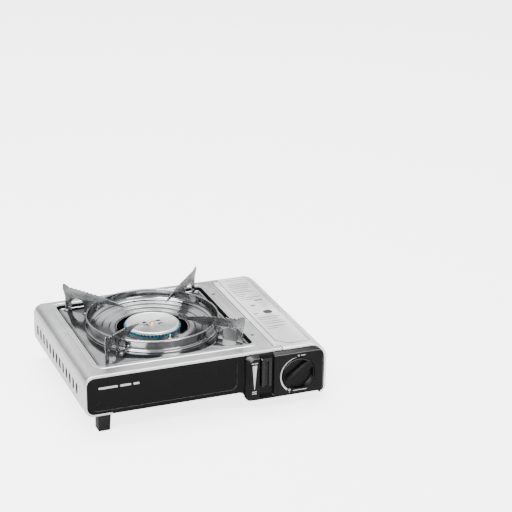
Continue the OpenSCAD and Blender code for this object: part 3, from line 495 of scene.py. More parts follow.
def mesh_object(name: str, points: Sequence, faces: Sequence[Sequence[int]]) -> bpy.types.Object:
    """Makes a mesh object from points in millimetres.

    Args:
        name: Name of the piece.
        points: Corners in millimetres, in the row frame.
        faces: Corner numbers of each face.

    Returns:
        The object, at the origin.
    """
    mesh = bpy.data.meshes.new(name)
    mesh.from_pydata([tuple(c * MM for c in p) for p in points], [], [tuple(f) for f in faces])
    mesh.update()
    obj = bpy.data.objects.new(name, mesh)
    bpy.context.collection.objects.link(obj)
    return obj


def clean(obj: bpy.types.Object, gap: float = 0.002) -> bpy.types.Object:
    """Merges doubles, drops stray edges and turns faces outwards."""
    bm = bmesh.new()
    bm.from_mesh(obj.data)
    bmesh.ops.remove_doubles(bm, verts=bm.verts, dist=gap * MM)
    bmesh.ops.dissolve_degenerate(bm, dist=gap * MM * 0.5, edges=bm.edges)
    bmesh.ops.delete(bm, geom=[e for e in bm.edges if not e.link_faces], context="EDGES")
    loose = [v for v in bm.verts if not v.link_faces]
    bmesh.ops.delete(bm, geom=loose, context="VERTS")
    bmesh.ops.recalc_face_normals(bm, faces=bm.faces)
    bm.to_mesh(obj.data)
    bm.free()
    return obj


def bake(obj: bpy.types.Object) -> bpy.types.Object:
    """Turns an object's modifiers into a plain mesh."""
    graph = bpy.context.evaluated_depsgraph_get()
    graph.update()
    mesh = bpy.data.meshes.new_from_object(obj.evaluated_get(graph), depsgraph=graph)
    mesh.name = obj.name
    obj.modifiers.clear()
    obj.data = mesh
    return obj


def shade(obj: bpy.types.Object, angle: float = SMOOTH_ANGLE) -> bpy.types.Object:
    """Shades a piece smooth, apart from its sharp edges."""
    obj.data.polygons.foreach_set("use_smooth", [True] * len(obj.data.polygons))
    obj.data.set_sharp_from_angle(angle=angle)
    return obj


def soften(obj: bpy.types.Object, width: float, segments: int = 2, angle: float = 34.0) -> bpy.types.Object:
    """Rounds the sharp edges of a piece.

    Args:
        obj: The piece.
        width: Width of the rounding in millimetres.
        segments: Faces across the rounding.
        angle: Smallest angle, in degrees, that counts as sharp.

    Returns:
        The piece with the rounding baked in.
    """
    rounding = obj.modifiers.new("rounding", "BEVEL")
    rounding.width = width * MM
    rounding.segments = segments
    rounding.limit_method = "ANGLE"
    rounding.angle_limit = math.radians(angle)
    rounding.harden_normals = False
    bake(obj)
    return shade(obj)


def thicken(obj: bpy.types.Object, thickness: float) -> bpy.types.Object:
    """Gives an outward-facing skin its thickness in millimetres, towards the inside."""
    wall = obj.modifiers.new("wall", "SOLIDIFY")
    wall.thickness = thickness * MM
    wall.offset = -1.0
    wall.use_even_offset = True
    return bake(obj)


def cut(obj: bpy.types.Object, tools: Sequence[bpy.types.Object]) -> bpy.types.Object:
    """Cuts tools out of a piece and removes them."""
    for number, tool in enumerate(tools):
        cutter = obj.modifiers.new(f"cut_{number}", "BOOLEAN")
        cutter.operation = "DIFFERENCE"
        cutter.solver = "EXACT"
        cutter.object = tool
    bake(obj)
    for tool in tools:
        bpy.data.objects.remove(tool)
    return obj


def join(name: str, parts: Sequence[bpy.types.Object]) -> bpy.types.Object:
    """Joins parts into one plain mesh and removes them."""
    bm = bmesh.new()
    for part in parts:
        bm.from_mesh(part.data)
        bpy.data.objects.remove(part)
    mesh = bpy.data.meshes.new(name)
    bm.to_mesh(mesh)
    bm.free()
    obj = bpy.data.objects.new(name, mesh)
    bpy.context.collection.objects.link(obj)
    return obj


def lofted(name: str, rings: Sequence[Sequence], closed_path: bool = False) -> bpy.types.Object:
    """Skins rings of equal point counts, with caps unless the path is closed.

    Args:
        name: Name of the piece.
        rings: Rings of points in millimetres.
        closed_path: True when the last ring meets the first.

    Returns:
        The closed piece, faces outwards.
    """
    count = len(rings[0])
    points = [p for ring in rings for p in ring]
    faces = []
    for i in range(len(rings) if closed_path else len(rings) - 1):
        a, b = i * count, (i + 1) % len(rings) * count
        faces += [(a + j, a + (j + 1) % count, b + (j + 1) % count, b + j) for j in range(count)]
    if not closed_path:
        faces += [tuple(range(count))[::-1], tuple(range((len(rings) - 1) * count, len(rings) * count))]
    return clean(mesh_object(name, points, faces))


def spun(name: str, section: Sequence[Point], centre: Point, count: int = 128) -> bpy.types.Object:
    """Turns a closed section of radius and height about an upright axis.

    Args:
        name: Name of the piece.
        section: Closed outline of (radius, height) in millimetres.
        centre: X and Y of the axis in millimetres.
        count: Steps around.

    Returns:
        The closed piece.
    """
    rings = []
    for i in range(count):
        a = 2 * math.pi * i / count
        rings.append([(centre[0] + r * math.cos(a), centre[1] + r * math.sin(a), z) for r, z in section])
    return clean(lofted(name, rings, closed_path=True))


def rounded_points(corners: Sequence[tuple], step: float = 12.0) -> list[Point]:
    """Rounds the corners of a closed outline.

    Args:
        corners: (x, z, radius) of each corner, anticlockwise.
        step: Degrees between points on a rounded corner.

    Returns:
        The outline's points.
    """
    out: list[Point] = []
    count = len(corners)
    for i, (x, z, r) in enumerate(corners):
        here = Vector((x, z))
        before = (Vector(corners[i - 1][:2]) - here).normalized()
        after = (Vector(corners[(i + 1) % count][:2]) - here).normalized()
        half = before.angle(after) / 2
        if r <= 0 or abs(half - math.pi / 2) < 1e-3:
            out.append((x, z))
            continue
        centre = here + (before + after).normalized() * (r / math.sin(half))
        start = here + before * (r / math.tan(half)) - centre
        end = here + after * (r / math.tan(half)) - centre
        turn = start.angle_signed(end)
        pieces = max(2, math.ceil(abs(math.degrees(turn)) / step))
        a0 = math.atan2(start.y, start.x)
        for k in range(pieces + 1):
            a = a0 - turn * k / pieces
            out.append((centre.x + r * math.cos(a), centre.y + r * math.sin(a)))
    return out


def box_corners(x0: float, z0: float, x1: float, z1: float, r: float | Sequence[float]) -> list[tuple]:
    """Corners of a rectangle, anticlockwise from its low left, each with its radius."""
    radii = [r] * 4 if isinstance(r, (int, float)) else list(r)
    return [(x0, z0, radii[0]), (x1, z0, radii[1]), (x1, z1, radii[2]), (x0, z1, radii[3])]


def prism_y(name: str, outline: Sequence[Point], y0: float, y1: float) -> bpy.types.Object:
    """Extrudes an outline of X and Z along Y."""
    return lofted(name, [[(x, y, z) for x, z in outline] for y in (y0, y1)])


def disc_points(x: float, z: float, r: float, count: int = 64) -> list[Point]:
    """Points of a circle in X and Z."""
    return [(x + r * math.cos(2 * math.pi * i / count), z + r * math.sin(2 * math.pi * i / count))
            for i in range(count)]


def stations(*spans: tuple[float, float, float], least: float = 0.12) -> list[float]:
    """Places along a line, from spans of (start, end, largest step), none closer than the least gap."""
    every: list[float] = []
    for start, end, step in spans:
        count = max(1, math.ceil(abs(end - start) / step - 1e-6))
        every += [start + (end - start) * i / count for i in range(count + 1)]
    out: list[float] = []
    for place in sorted(every):
        if not out or place - out[-1] > least:
            out.append(place)
    return out


class BentLine:
    """Line through corners, each rounded, measured by its length. Its left side is the outside."""

    def __init__(self, corners: Sequence[tuple[float, float, float]]) -> None:
        """Works out the straight and round stretches.

        Args:
            corners: (x, z, radius) from start to end. The ends have no radius.
        """
        self.parts: list[tuple] = []
        self.marks = [0.0]
        last = Vector(corners[0][:2])
        for i in range(1, len(corners) - 1):
            here = Vector(corners[i][:2])
            r = corners[i][2]
            into = (here - Vector(corners[i - 1][:2])).normalized()
            out = (Vector(corners[i + 1][:2]) - here).normalized()
            turn = math.atan2(into.x * out.y - into.y * out.x, into.dot(out))
            back = r * math.tan(abs(turn) / 2)
            self._line(last, here - into * back)
            side = math.copysign(1.0, turn)
            centre = here - into * back + Vector((-into.y, into.x)) * r * side
            self.parts.append(("arc", centre, r, into, turn, r * abs(turn)))
            self.marks.append(self.marks[-1] + r * abs(turn))
            last = here + out * back
        self._line(last, Vector(corners[-1][:2]))

    def _line(self, start: Vector, end: Vector) -> None:
        """Adds a straight stretch."""
        length = (end - start).length
        self.parts.append(("line", start, length, (end - start).normalized(), 0.0, length))
        self.marks.append(self.marks[-1] + length)

    @property
    def length(self) -> float:
        """Whole length."""
        return self.marks[-1]

    def at(self, u: float) -> tuple[Vector, Vector]:
        """Returns the point and the outward direction at a length along the line."""
        index = 0
        while index < len(self.parts) - 1 and u > self.marks[index + 1]:
            index += 1
        kind, origin, size, into, turn, length = self.parts[index]
        along = u - self.marks[index]
        if kind == "line":
            return origin + into * along, Vector((-into.y, into.x))
        angle = turn * along / length
        ahead = Vector((into.x * math.cos(angle) - into.y * math.sin(angle),
                        into.x * math.sin(angle) + into.y * math.cos(angle)))
        side = math.copysign(1.0, turn)
        outward = Vector((-ahead.y, ahead.x))
        return origin - outward * size * side, outward


def box_distance(u: np.ndarray, v: np.ndarray, low: Point, high: Point, r: float) -> np.ndarray:
    """Distance outside a rounded rectangle, negative inside it."""
    du = np.abs(u - (low[0] + high[0]) / 2) - (high[0] - low[0]) / 2 + r
    dv = np.abs(v - (low[1] + high[1]) / 2) - (high[1] - low[1]) / 2 + r
    outside = np.hypot(np.maximum(du, 0), np.maximum(dv, 0))
    return outside + np.minimum(np.maximum(du, dv), 0) - r


def bead(distance: np.ndarray, width: float) -> np.ndarray:
    """Smooth bump of height 1 that falls to 0 at a distance of width."""
    return np.where(np.abs(distance) < width, 0.5 + 0.5 * np.cos(np.pi * distance / width), 0.0)


def step_up(distance: np.ndarray, width: float) -> np.ndarray:
    """Smooth step from 0 to 1 over a width around a distance of 0."""
    t = np.clip(distance / width + 0.5, 0, 1)
    return t * t * (3 - 2 * t)


Field = Callable[[np.ndarray, np.ndarray], np.ndarray]


@dataclass
class PressedSheet:
    """Sheet bent along a line, with holes and pressed marks laid out on its flat blank.

    Attributes:
        name: Name of the piece.
        bend: Line that the sheet follows in X and Z.
        hem: Line that it follows in Y and depth, with its turned-in ends.
        us: Stations along the bend.
        vs: Stations along the hem.
        holes: Distance to the nearest cut edge, negative where the sheet is cut away.
        press: Height of the pressed marks.
        outer_faces: How many of the built piece's faces are on its outer side; they come first.
    """

    name: str
    bend: BentLine
    hem: BentLine
    us: list[float]
    vs: list[float]
    holes: Field
    press: Field
    outer_faces: int = 0

    def build(self, thickness: float) -> bpy.types.Object:
        """Builds the sheet.

        Args:
            thickness: Thickness in millimetres.

        Returns:
            The closed piece.
        """
        nu, nv = len(self.us), len(self.vs)
        grid_u, grid_v = np.meshgrid(np.array(self.us), np.array(self.vs), indexing="ij")
        mid_u = (grid_u[:-1, :-1] + grid_u[1:, 1:]) / 2
        mid_v = (grid_v[:-1, :-1] + grid_v[1:, 1:]) / 2
        kept = self.holes(mid_u, mid_v) > 0
        near = np.zeros((nu, nv), int)
        gone = np.zeros((nu, nv), int)
        for i in (0, 1):
            for j in (0, 1):
                near[i:nu - 1 + i, j:nv - 1 + j] += kept
                gone[i:nu - 1 + i, j:nv - 1 + j] += ~kept
        edge = (near > 0) & (gone > 0)
        for _ in range(4):
            grid_u, grid_v = self._snap(grid_u, grid_v, edge)
        height = self.press(grid_u, grid_v)
        points = []
        for u, v, h in zip(grid_u.ravel(), grid_v.ravel(), height.ravel()):
            spot, outward = self.bend.at(float(u))
            across, depth = self.hem.at(float(v))[0]
            lift = h + depth
            points.append((spot.x + outward.x * lift, across, spot.y + outward.y * lift))
        faces = []
        for i, j in zip(*np.nonzero(kept)):
            a = int(i) * nv + int(j)
            faces.append((a, a + nv, a + nv + 1, a + 1))
        obj = mesh_object(self.name, points, faces)
        bm = bmesh.new()
        bm.from_mesh(obj.data)
        bmesh.ops.delete(bm, geom=[v for v in bm.verts if not v.link_faces], context="VERTS")
        bm.to_mesh(obj.data)
        bm.free()
        self.outer_faces = len(obj.data.polygons)
        return shade(thicken(obj, thickness))

    def _snap(self, u: np.ndarray, v: np.ndarray, edge: np.ndarray) -> tuple[np.ndarray, np.ndarray]:
        """Moves the corners beside a hole onto its edge."""
        tiny = 0.01
        d = self.holes(u, v)
        gu = (self.holes(u + tiny, v) - self.holes(u - tiny, v)) / (2 * tiny)
        gv = (self.holes(u, v + tiny) - self.holes(u, v - tiny)) / (2 * tiny)
        size = np.maximum(gu * gu + gv * gv, 0.25)
        return u - np.where(edge, d * gu / size, 0), v - np.where(edge, d * gv / size, 0)


def swept_band(name: str, path: Sequence[tuple], section: Sequence[Point]) -> bpy.types.Object:
    """Sweeps an open section of (outward distance, height) around a closed flat path.

    Args:
        name: Name of the piece.
        path: (x, y, outward x, outward y) of each place on the path, anticlockwise.
        section: Points of the section from the outside in, in millimetres.

    Returns:
        The skin, facing up and inwards.
    """
    count = len(path)
    points = [(x + nx * d, y + ny * d, z) for d, z in section for x, y, nx, ny in path]
    faces = []
    for i in range(len(section) - 1):
        for j in range(count):
            k = (j + 1) % count
            faces.append((i * count + j, i * count + k, (i + 1) * count + k, (i + 1) * count + j))
    return mesh_object(name, points, faces)


def rect_path(low: Point, high: Point, r: float, step: float = 9.0, run: float = 8.0) -> list[tuple]:
    """Rounded rectangle as places with their outward directions, anticlockwise from above.

    Args:
        low: Lowest X and Y.
        high: Highest X and Y.
        r: Radius of the corners.
        step: Degrees between places on a corner.
        run: Largest distance between places on a side.

    Returns:
        (x, y, outward x, outward y) of each place.
    """
    out: list[tuple] = []
    centres = [(high[0] - r, low[1] + r, -90), (high[0] - r, high[1] - r, 0),
               (low[0] + r, high[1] - r, 90), (low[0] + r, low[1] + r, 180)]
    for i, (cx, cy, a0) in enumerate(centres):
        for k in range(int(90 / step) + 1):
            a = math.radians(a0 + k * step)
            out.append((cx + r * math.cos(a), cy + r * math.sin(a), math.cos(a), math.sin(a)))
        nx, ny, a1 = centres[(i + 1) % 4]
        a = math.radians(a1)
        end = Vector((nx + r * math.cos(a), ny + r * math.sin(a)))
        start = Vector(out[-1][:2])
        pieces = max(1, math.ceil((end - start).length / run))
        out += [(*(start.lerp(end, k / pieces)), math.cos(a), math.sin(a)) for k in range(1, pieces)]
    return out


class Repeater:
    """Geometry Nodes tree that sets copies of a tool on points or around a circle."""

    def __init__(self) -> None:
        """Builds the tree."""
        tree = bpy.data.node_groups.new("repeat_tool", "GeometryNodeTree")
        tree.is_modifier = True
        face = tree.interface
        face.new_socket("Geometry", in_out="INPUT", socket_type="NodeSocketGeometry")
        for name, kind in (("Tool", "NodeSocketObject"), ("Count", "NodeSocketInt"),
                           ("Radius", "NodeSocketFloat"), ("On Circle", "NodeSocketBool"),
                           ("Finish", "NodeSocketMaterial")):
            face.new_socket(name, in_out="INPUT", socket_type=kind)
        face.new_socket("Geometry", in_out="OUTPUT", socket_type="NodeSocketGeometry")
        nodes, link = tree.nodes, tree.links.new
        inp, out = nodes.new("NodeGroupInput"), nodes.new("NodeGroupOutput")
        circle = nodes.new("GeometryNodeMeshCircle")
        where = nodes.new("GeometryNodeSwitch")
        where.input_type = "GEOMETRY"
        tool = nodes.new("GeometryNodeObjectInfo")
        place = nodes.new("GeometryNodeInstanceOnPoints")
        index, divide, angle = nodes.new("GeometryNodeInputIndex"), nodes.new("ShaderNodeMath"), \
            nodes.new("ShaderNodeMath")
        divide.operation, angle.operation = "DIVIDE", "MULTIPLY"
        angle.inputs[1].default_value = 2 * math.pi
        turn = nodes.new("ShaderNodeCombineXYZ")
        still = nodes.new("GeometryNodeSwitch")
        still.input_type = "VECTOR"
        realize, finish = nodes.new("GeometryNodeRealizeInstances"), nodes.new("GeometryNodeSetMaterial")
        link(inp.outputs["Count"], circle.inputs["Vertices"])
        link(inp.outputs["Radius"], circle.inputs["Radius"])
        link(inp.outputs["On Circle"], where.inputs["Switch"])
        link(inp.outputs["Geometry"], where.inputs["False"])
        link(circle.outputs["Mesh"], where.inputs["True"])
        link(where.outputs["Output"], place.inputs["Points"])
        link(inp.outputs["Tool"], tool.inputs["Object"])
        link(tool.outputs["Geometry"], place.inputs["Instance"])
        link(index.outputs["Index"], divide.inputs[0])
        link(inp.outputs["Count"], divide.inputs[1])
        link(divide.outputs["Value"], angle.inputs[0])
        link(angle.outputs["Value"], turn.inputs["Z"])
        link(inp.outputs["On Circle"], still.inputs["Switch"])
        link(turn.outputs["Vector"], still.inputs["True"])
        link(still.outputs["Output"], place.inputs["Rotation"])
        link(place.outputs["Instances"], realize.inputs["Geometry"])
        link(realize.outputs["Geometry"], finish.inputs["Geometry"])
        link(inp.outputs["Finish"], finish.inputs["Material"])
        link(finish.outputs["Geometry"], out.inputs["Geometry"])
        self.tree = tree
        self.ids = {s.name: s.identifier for s in face.items_tree if s.in_out == "INPUT"}

    def _run(self, obj: bpy.types.Object, tool: bpy.types.Object, values: dict) -> bpy.types.Object:
        """Runs the tree on an object, bakes it and removes the tool."""
        modifier = obj.modifiers.new("repeat", "NODES")
        modifier.node_group = self.tree
        modifier[self.ids["Tool"]] = tool
        for key, value in values.items():
            modifier[self.ids[key]] = value
        bake(obj)
        bpy.data.objects.remove(tool)
        return shade(obj)

    def on_points(self, name: str, tool: bpy.types.Object, places: Sequence[tuple],
                  finish: bpy.types.Material) -> bpy.types.Object:
        """Sets a copy of a tool at each place.

        Args:
            name: Name of the piece.
            tool: The tool, drawn around the origin.
            places: Points in millimetres.
            finish: Material of the copies.

        Returns:
            The baked piece.
        """
        base = mesh_object(name, places, [])
        return self._run(base, tool, {"Count": len(places), "Radius": 0.0, "On Circle": False,
                                      "Finish": finish})

    def on_circle(self, name: str, tool: bpy.types.Object, centre: tuple, radius: float, count: int,
                  finish: bpy.types.Material) -> bpy.types.Object:
        """Sets copies of a tool around a circle, each turned to face outwards.

        Args:
            name: Name of the piece.
            tool: The tool, drawn around the origin and facing +X.
            centre: Centre of the circle in millimetres.
            radius: Radius in millimetres.
            count: Number of copies.
            finish: Material of the copies.

        Returns:
            The baked piece.
        """
        base = mesh_object(name, [(0, 0, 0)], [])
        self._run(base, tool, {"Count": count, "Radius": radius * MM, "On Circle": True, "Finish": finish})
        base.data.transform(Matrix.Translation(Vector(centre) * MM))
        return base


def cad_copy(name: str, node: str) -> bpy.types.Object:
    """Copies a node of the frame, merged into a clean closed mesh with flat faces joined.

    Args:
        name: Name of the new piece.
        node: Node to copy.

    Returns:
        The copy.
    """
    source = bpy.data.objects[node]
    obj = bpy.data.objects.new(name, source.data.copy())
    obj.data.materials.clear()
    bpy.context.collection.objects.link(obj)
    bm = bmesh.new()
    bm.from_mesh(obj.data)
    bmesh.ops.remove_doubles(bm, verts=bm.verts, dist=0.004 * MM)
    bmesh.ops.dissolve_limit(bm, angle_limit=math.radians(1.0), verts=bm.verts, edges=bm.edges)
    bm.to_mesh(obj.data)
    bm.free()
    return obj


def box_mm(node: str) -> tuple[Vector, Vector]:
    """Lowest and highest corner of a node of the frame, in millimetres."""
    low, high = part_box(node)
    return low / MM, high / MM


# ---------------------------------------------------------------- case


@dataclass
class SteelCase:
    """Pressed shell of the burner side, with its recess for the drip tray.

    Sizes are in millimetres. The shell's planes come from the frame.
    """

    shop: Workshop
    sheet: float = 0.8
    edge_r: float = 14.0
    hem: float = 3.4
    hem_r: float = 1.3
    seam_x: float = 95.1
    lug_d: float = 9.0
    recess_gap: float = 2.0
    recess_r: float = 6.0
    ledge_drop: float = 6.0
    ledge_w: float = 6.0
    slot_n: int = 13
    slot_pitch: float = 16.4
    slot_size: tuple[float, float] = (7.4, 15.6)
    slot_z: float = 52.4
    slot_shift: float = 6.6
    groove_out: float = 7.0

    def build(self) -> None:
        """Builds the shell and its ledge, then the deck rivets."""
        low, high = box_mm("body_shell")
        self._shell(low, high)
        self._rivets(high.z)

    def _recess(self) -> tuple[Point, Point]:
        """Returns the low and high corners of the recess, from the tray that lies in it."""
        low, high = box_mm("drip_tray")
        return (low.x - self.recess_gap, low.y - self.recess_gap), \
            (high.x + self.recess_gap, high.y + self.recess_gap)

    def _shell(self, low: Vector, high: Vector) -> None:
        """Builds the pressed shell.

        Args:
            low: Lowest corner of the shell in the frame.
            high: Highest corner.
        """
        mid_y = (low.y + high.y) / 2
        lip_x = low.x + 38.0
        bend = BentLine([(lip_x, low.z, 0), (low.x, low.z, self.edge_r), (low.x, high.z, self.edge_r),
                         (high.x, high.z, 0)])
        hem = BentLine([(low.y, -self.hem, 0), (low.y, 0, self.hem_r), (high.y, 0, self.hem_r),
                        (high.y, -self.hem, 0)])
        turn = math.pi / 2
        lip = 38.0 - self.edge_r
        wall_u = lip + self.edge_r * turn
        wall = high.z - low.z - 2 * self.edge_r
        top_u = wall_u + wall + self.edge_r * turn
        flat_x = low.x + self.edge_r

        def at_x(x: float) -> float:
            """Length along the bend at a place on the top."""
            return top_u + x - flat_x

        def at_z(z: float) -> float:
            """Length along the bend at a height on the left wall."""
            return wall_u + z - low.z - self.edge_r

        fold = self.hem - self.hem_r + self.hem_r * turn

        def at_y(y: float) -> float:
            """Length along the hem at a place on Y."""
            return fold + y - low.y - self.hem_r

        (rx0, ry0), (rx1, ry1) = self._recess()
        bend_out = 1.2
        recess = ((at_x(rx0) - bend_out, at_y(ry0) - bend_out), (at_x(rx1) + bend_out, at_y(ry1) + bend_out))
        lug_low, lug_high = at_y(low.y + self.lug_d), at_y(high.y - self.lug_d)
        slot_w, slot_h = self.slot_size
        slot_u = at_z(self.slot_z)
        slot_v = at_y(mid_y + self.slot_shift)
        reach = (self.slot_n - 1) / 2 * self.slot_pitch

        def holes(u: np.ndarray, v: np.ndarray) -> np.ndarray:
            """Distance to the recess, the slots and the cut-back seam."""
            d = box_distance(u, v, *recess, self.recess_r + bend_out)
            near = np.clip(np.round((v - slot_v + reach) / self.slot_pitch), 0, self.slot_n - 1)
            middle = slot_v - reach + near * self.slot_pitch
            slot = box_distance(u, v - middle, (slot_u - slot_h / 2, -slot_w / 2),
                                (slot_u + slot_h / 2, slot_w / 2), slot_w / 2 - 0.01)
            seam = box_distance(u, v, (at_x(self.seam_x), lug_low), (at_x(high.x) + 20, lug_high), 0.4)
            return np.minimum(np.minimum(d, slot), seam)

        crease_u = at_z(high.z - self.edge_r) + 6.0

        def press(u: np.ndarray, v: np.ndarray) -> np.ndarray:
            """Grooves around the recess, along the seam and along the left edge, and the end marks."""
            around = box_distance(u, v, *recess, self.recess_r + bend_out)
            height = -0.45 * bead(around - self.groove_out, 1.1)
            height += -0.22 * bead(u - crease_u, 1.3)
            height += -0.25 * bead(u - at_x(self.seam_x - 2.4), 0.8) * (around > 0)
            for end in (slot_v - reach - 11.5, slot_v + reach + 10.5):
                height += -1.3 * bead(v - end, 1.8) * bead(u - slot_u, 9.0)
            return height

        us = stations((0, lip, 8), (lip, wall_u, 2.2), (wall_u, slot_u - slot_h / 2 - 0.4, 2.5),
                      (slot_u - slot_h / 2 - 0.4, slot_u + slot_h / 2 + 0.4, 1.05),
                      (slot_u + slot_h / 2 + 0.4, at_z(high.z - self.edge_r), 2.5),
                      (at_z(high.z - self.edge_r), top_u, 0.85), (top_u, recess[0][0] - 9, 3),
                      (recess[0][0] - 9, recess[0][0] - 5, 0.4), (recess[0][0] - 5, recess[0][0], 1.6),
                      (recess[0][0], recess[0][0] + 8, 0.9), (recess[0][0] + 8, recess[1][0] - 8, 9),
                      (recess[1][0] - 8, recess[1][0], 0.9), (recess[1][0], recess[1][0] + 5, 1.6),
                      (recess[1][0] + 5, recess[1][0] + 9, 0.4), (recess[1][0] + 9, at_x(self.seam_x) - 4, 2),
                      (at_x(self.seam_x) - 4, at_x(self.seam_x), 0.4), (at_x(self.seam_x), at_x(high.x), 2.5))
        per_slot = self.slot_pitch / 12
        vs = stations((0, self.hem - self.hem_r, 1.1), (self.hem - self.hem_r, fold, 0.35),
                      (fold, lug_low, 2), (lug_low, recess[0][1] - 9, 2),
                      (recess[0][1] - 9, recess[0][1] - 5, 0.4), (recess[0][1] - 5, recess[0][1], 1.4),
                      (recess[0][1], slot_v + reach + self.slot_pitch / 2, per_slot),
                      (slot_v + reach + self.slot_pitch / 2, recess[1][1], 1.4),
                      (recess[1][1], recess[1][1] + 5, 1.4), (recess[1][1] + 5, recess[1][1] + 9, 0.4),
                      (recess[1][1] + 9, lug_high, 2), (lug_high, at_y(high.y - self.hem_r), 2),
                      (at_y(high.y - self.hem_r), hem.length - self.hem + self.hem_r, 0.35),
                      (hem.length - self.hem + self.hem_r, hem.length, 1.1))
        sheet = PressedSheet("shell_skin", bend, hem, us, vs, holes, press)
        shell = sheet.build(self.sheet)

        drop, t = self.ledge_drop, self.sheet
        section = [(bend_out + 0.02, high.z)]
        section += [(bend_out * (1 - math.sin(a)), high.z - bend_out * (1 - math.cos(a)))
                    for a in (math.radians(k) for k in (15, 30, 45, 60, 75, 90))]
        section += [(0, high.z - drop + t)]
        section += [(-t * (1 - math.cos(a)), high.z - drop + t * (1 - math.sin(a)))
                    for a in (math.radians(k) for k in (45, 90))]
        section += [(-self.ledge_w, high.z - drop)]
        wall_band = swept_band("ledge", rect_path((rx0, ry0), (rx1, ry1), self.recess_r), section)
        shell.name = "steel_shell"
        self.shop.add(shell, "satin_steel", Body.CASE, stands_for=["body_shell"])
        # Inner side and cut edges: duller steel, darkened as painted shade.
        self.shop.line(shell, sheet.outer_faces, "inner_steel")
        # The ledge is near-black: painted shade in the gap around the drip tray.
        self.shop.add(shade(thicken(wall_band, t)), "gap_steel", Body.CASE, Slot.SATIN_STEEL)

    def _rivets(self, top_z: float) -> None:
        """Builds the two deck rivets."""
        low, high = box_mm("deck_rivets")
        radius = (high.x - low.x) / 2
        x = (low.x + high.x) / 2
        tool = rivet("deck_rivet_tool", radius, high.z - low.z, high.z - top_z)
        places = [(x, y, high.z) for y in (low.y + radius, high.y - radius)]
        piece = self.shop.repeater.on_points("deck_rivet_pair", tool, places,
                                             self.shop.materials["rivet_dark"])
        self.shop.add(piece, "rivet_dark", Body.CASE, Slot.ZINC_STEEL, ["deck_rivets"])


def rivet(name: str, radius: float, length: float, head: float) -> bpy.types.Object:
    """Makes a domed rivet that hangs down from the origin.

    Args:
        name: Name of the tool.
        radius: Radius of the head in millimetres.
        length: Whole length.
        head: Height of the head.

    Returns:
        The rivet, a few dozen faces.
    """
    stem = radius * 0.62
    section = [(0.0, 0.0), (radius * 0.6, -head * 0.12), (radius * 0.92, -head * 0.45),
               (radius, -head), (stem, -head), (stem, -length), (0.0, -length)]
    return spun(name, section, (0, 0), 16)


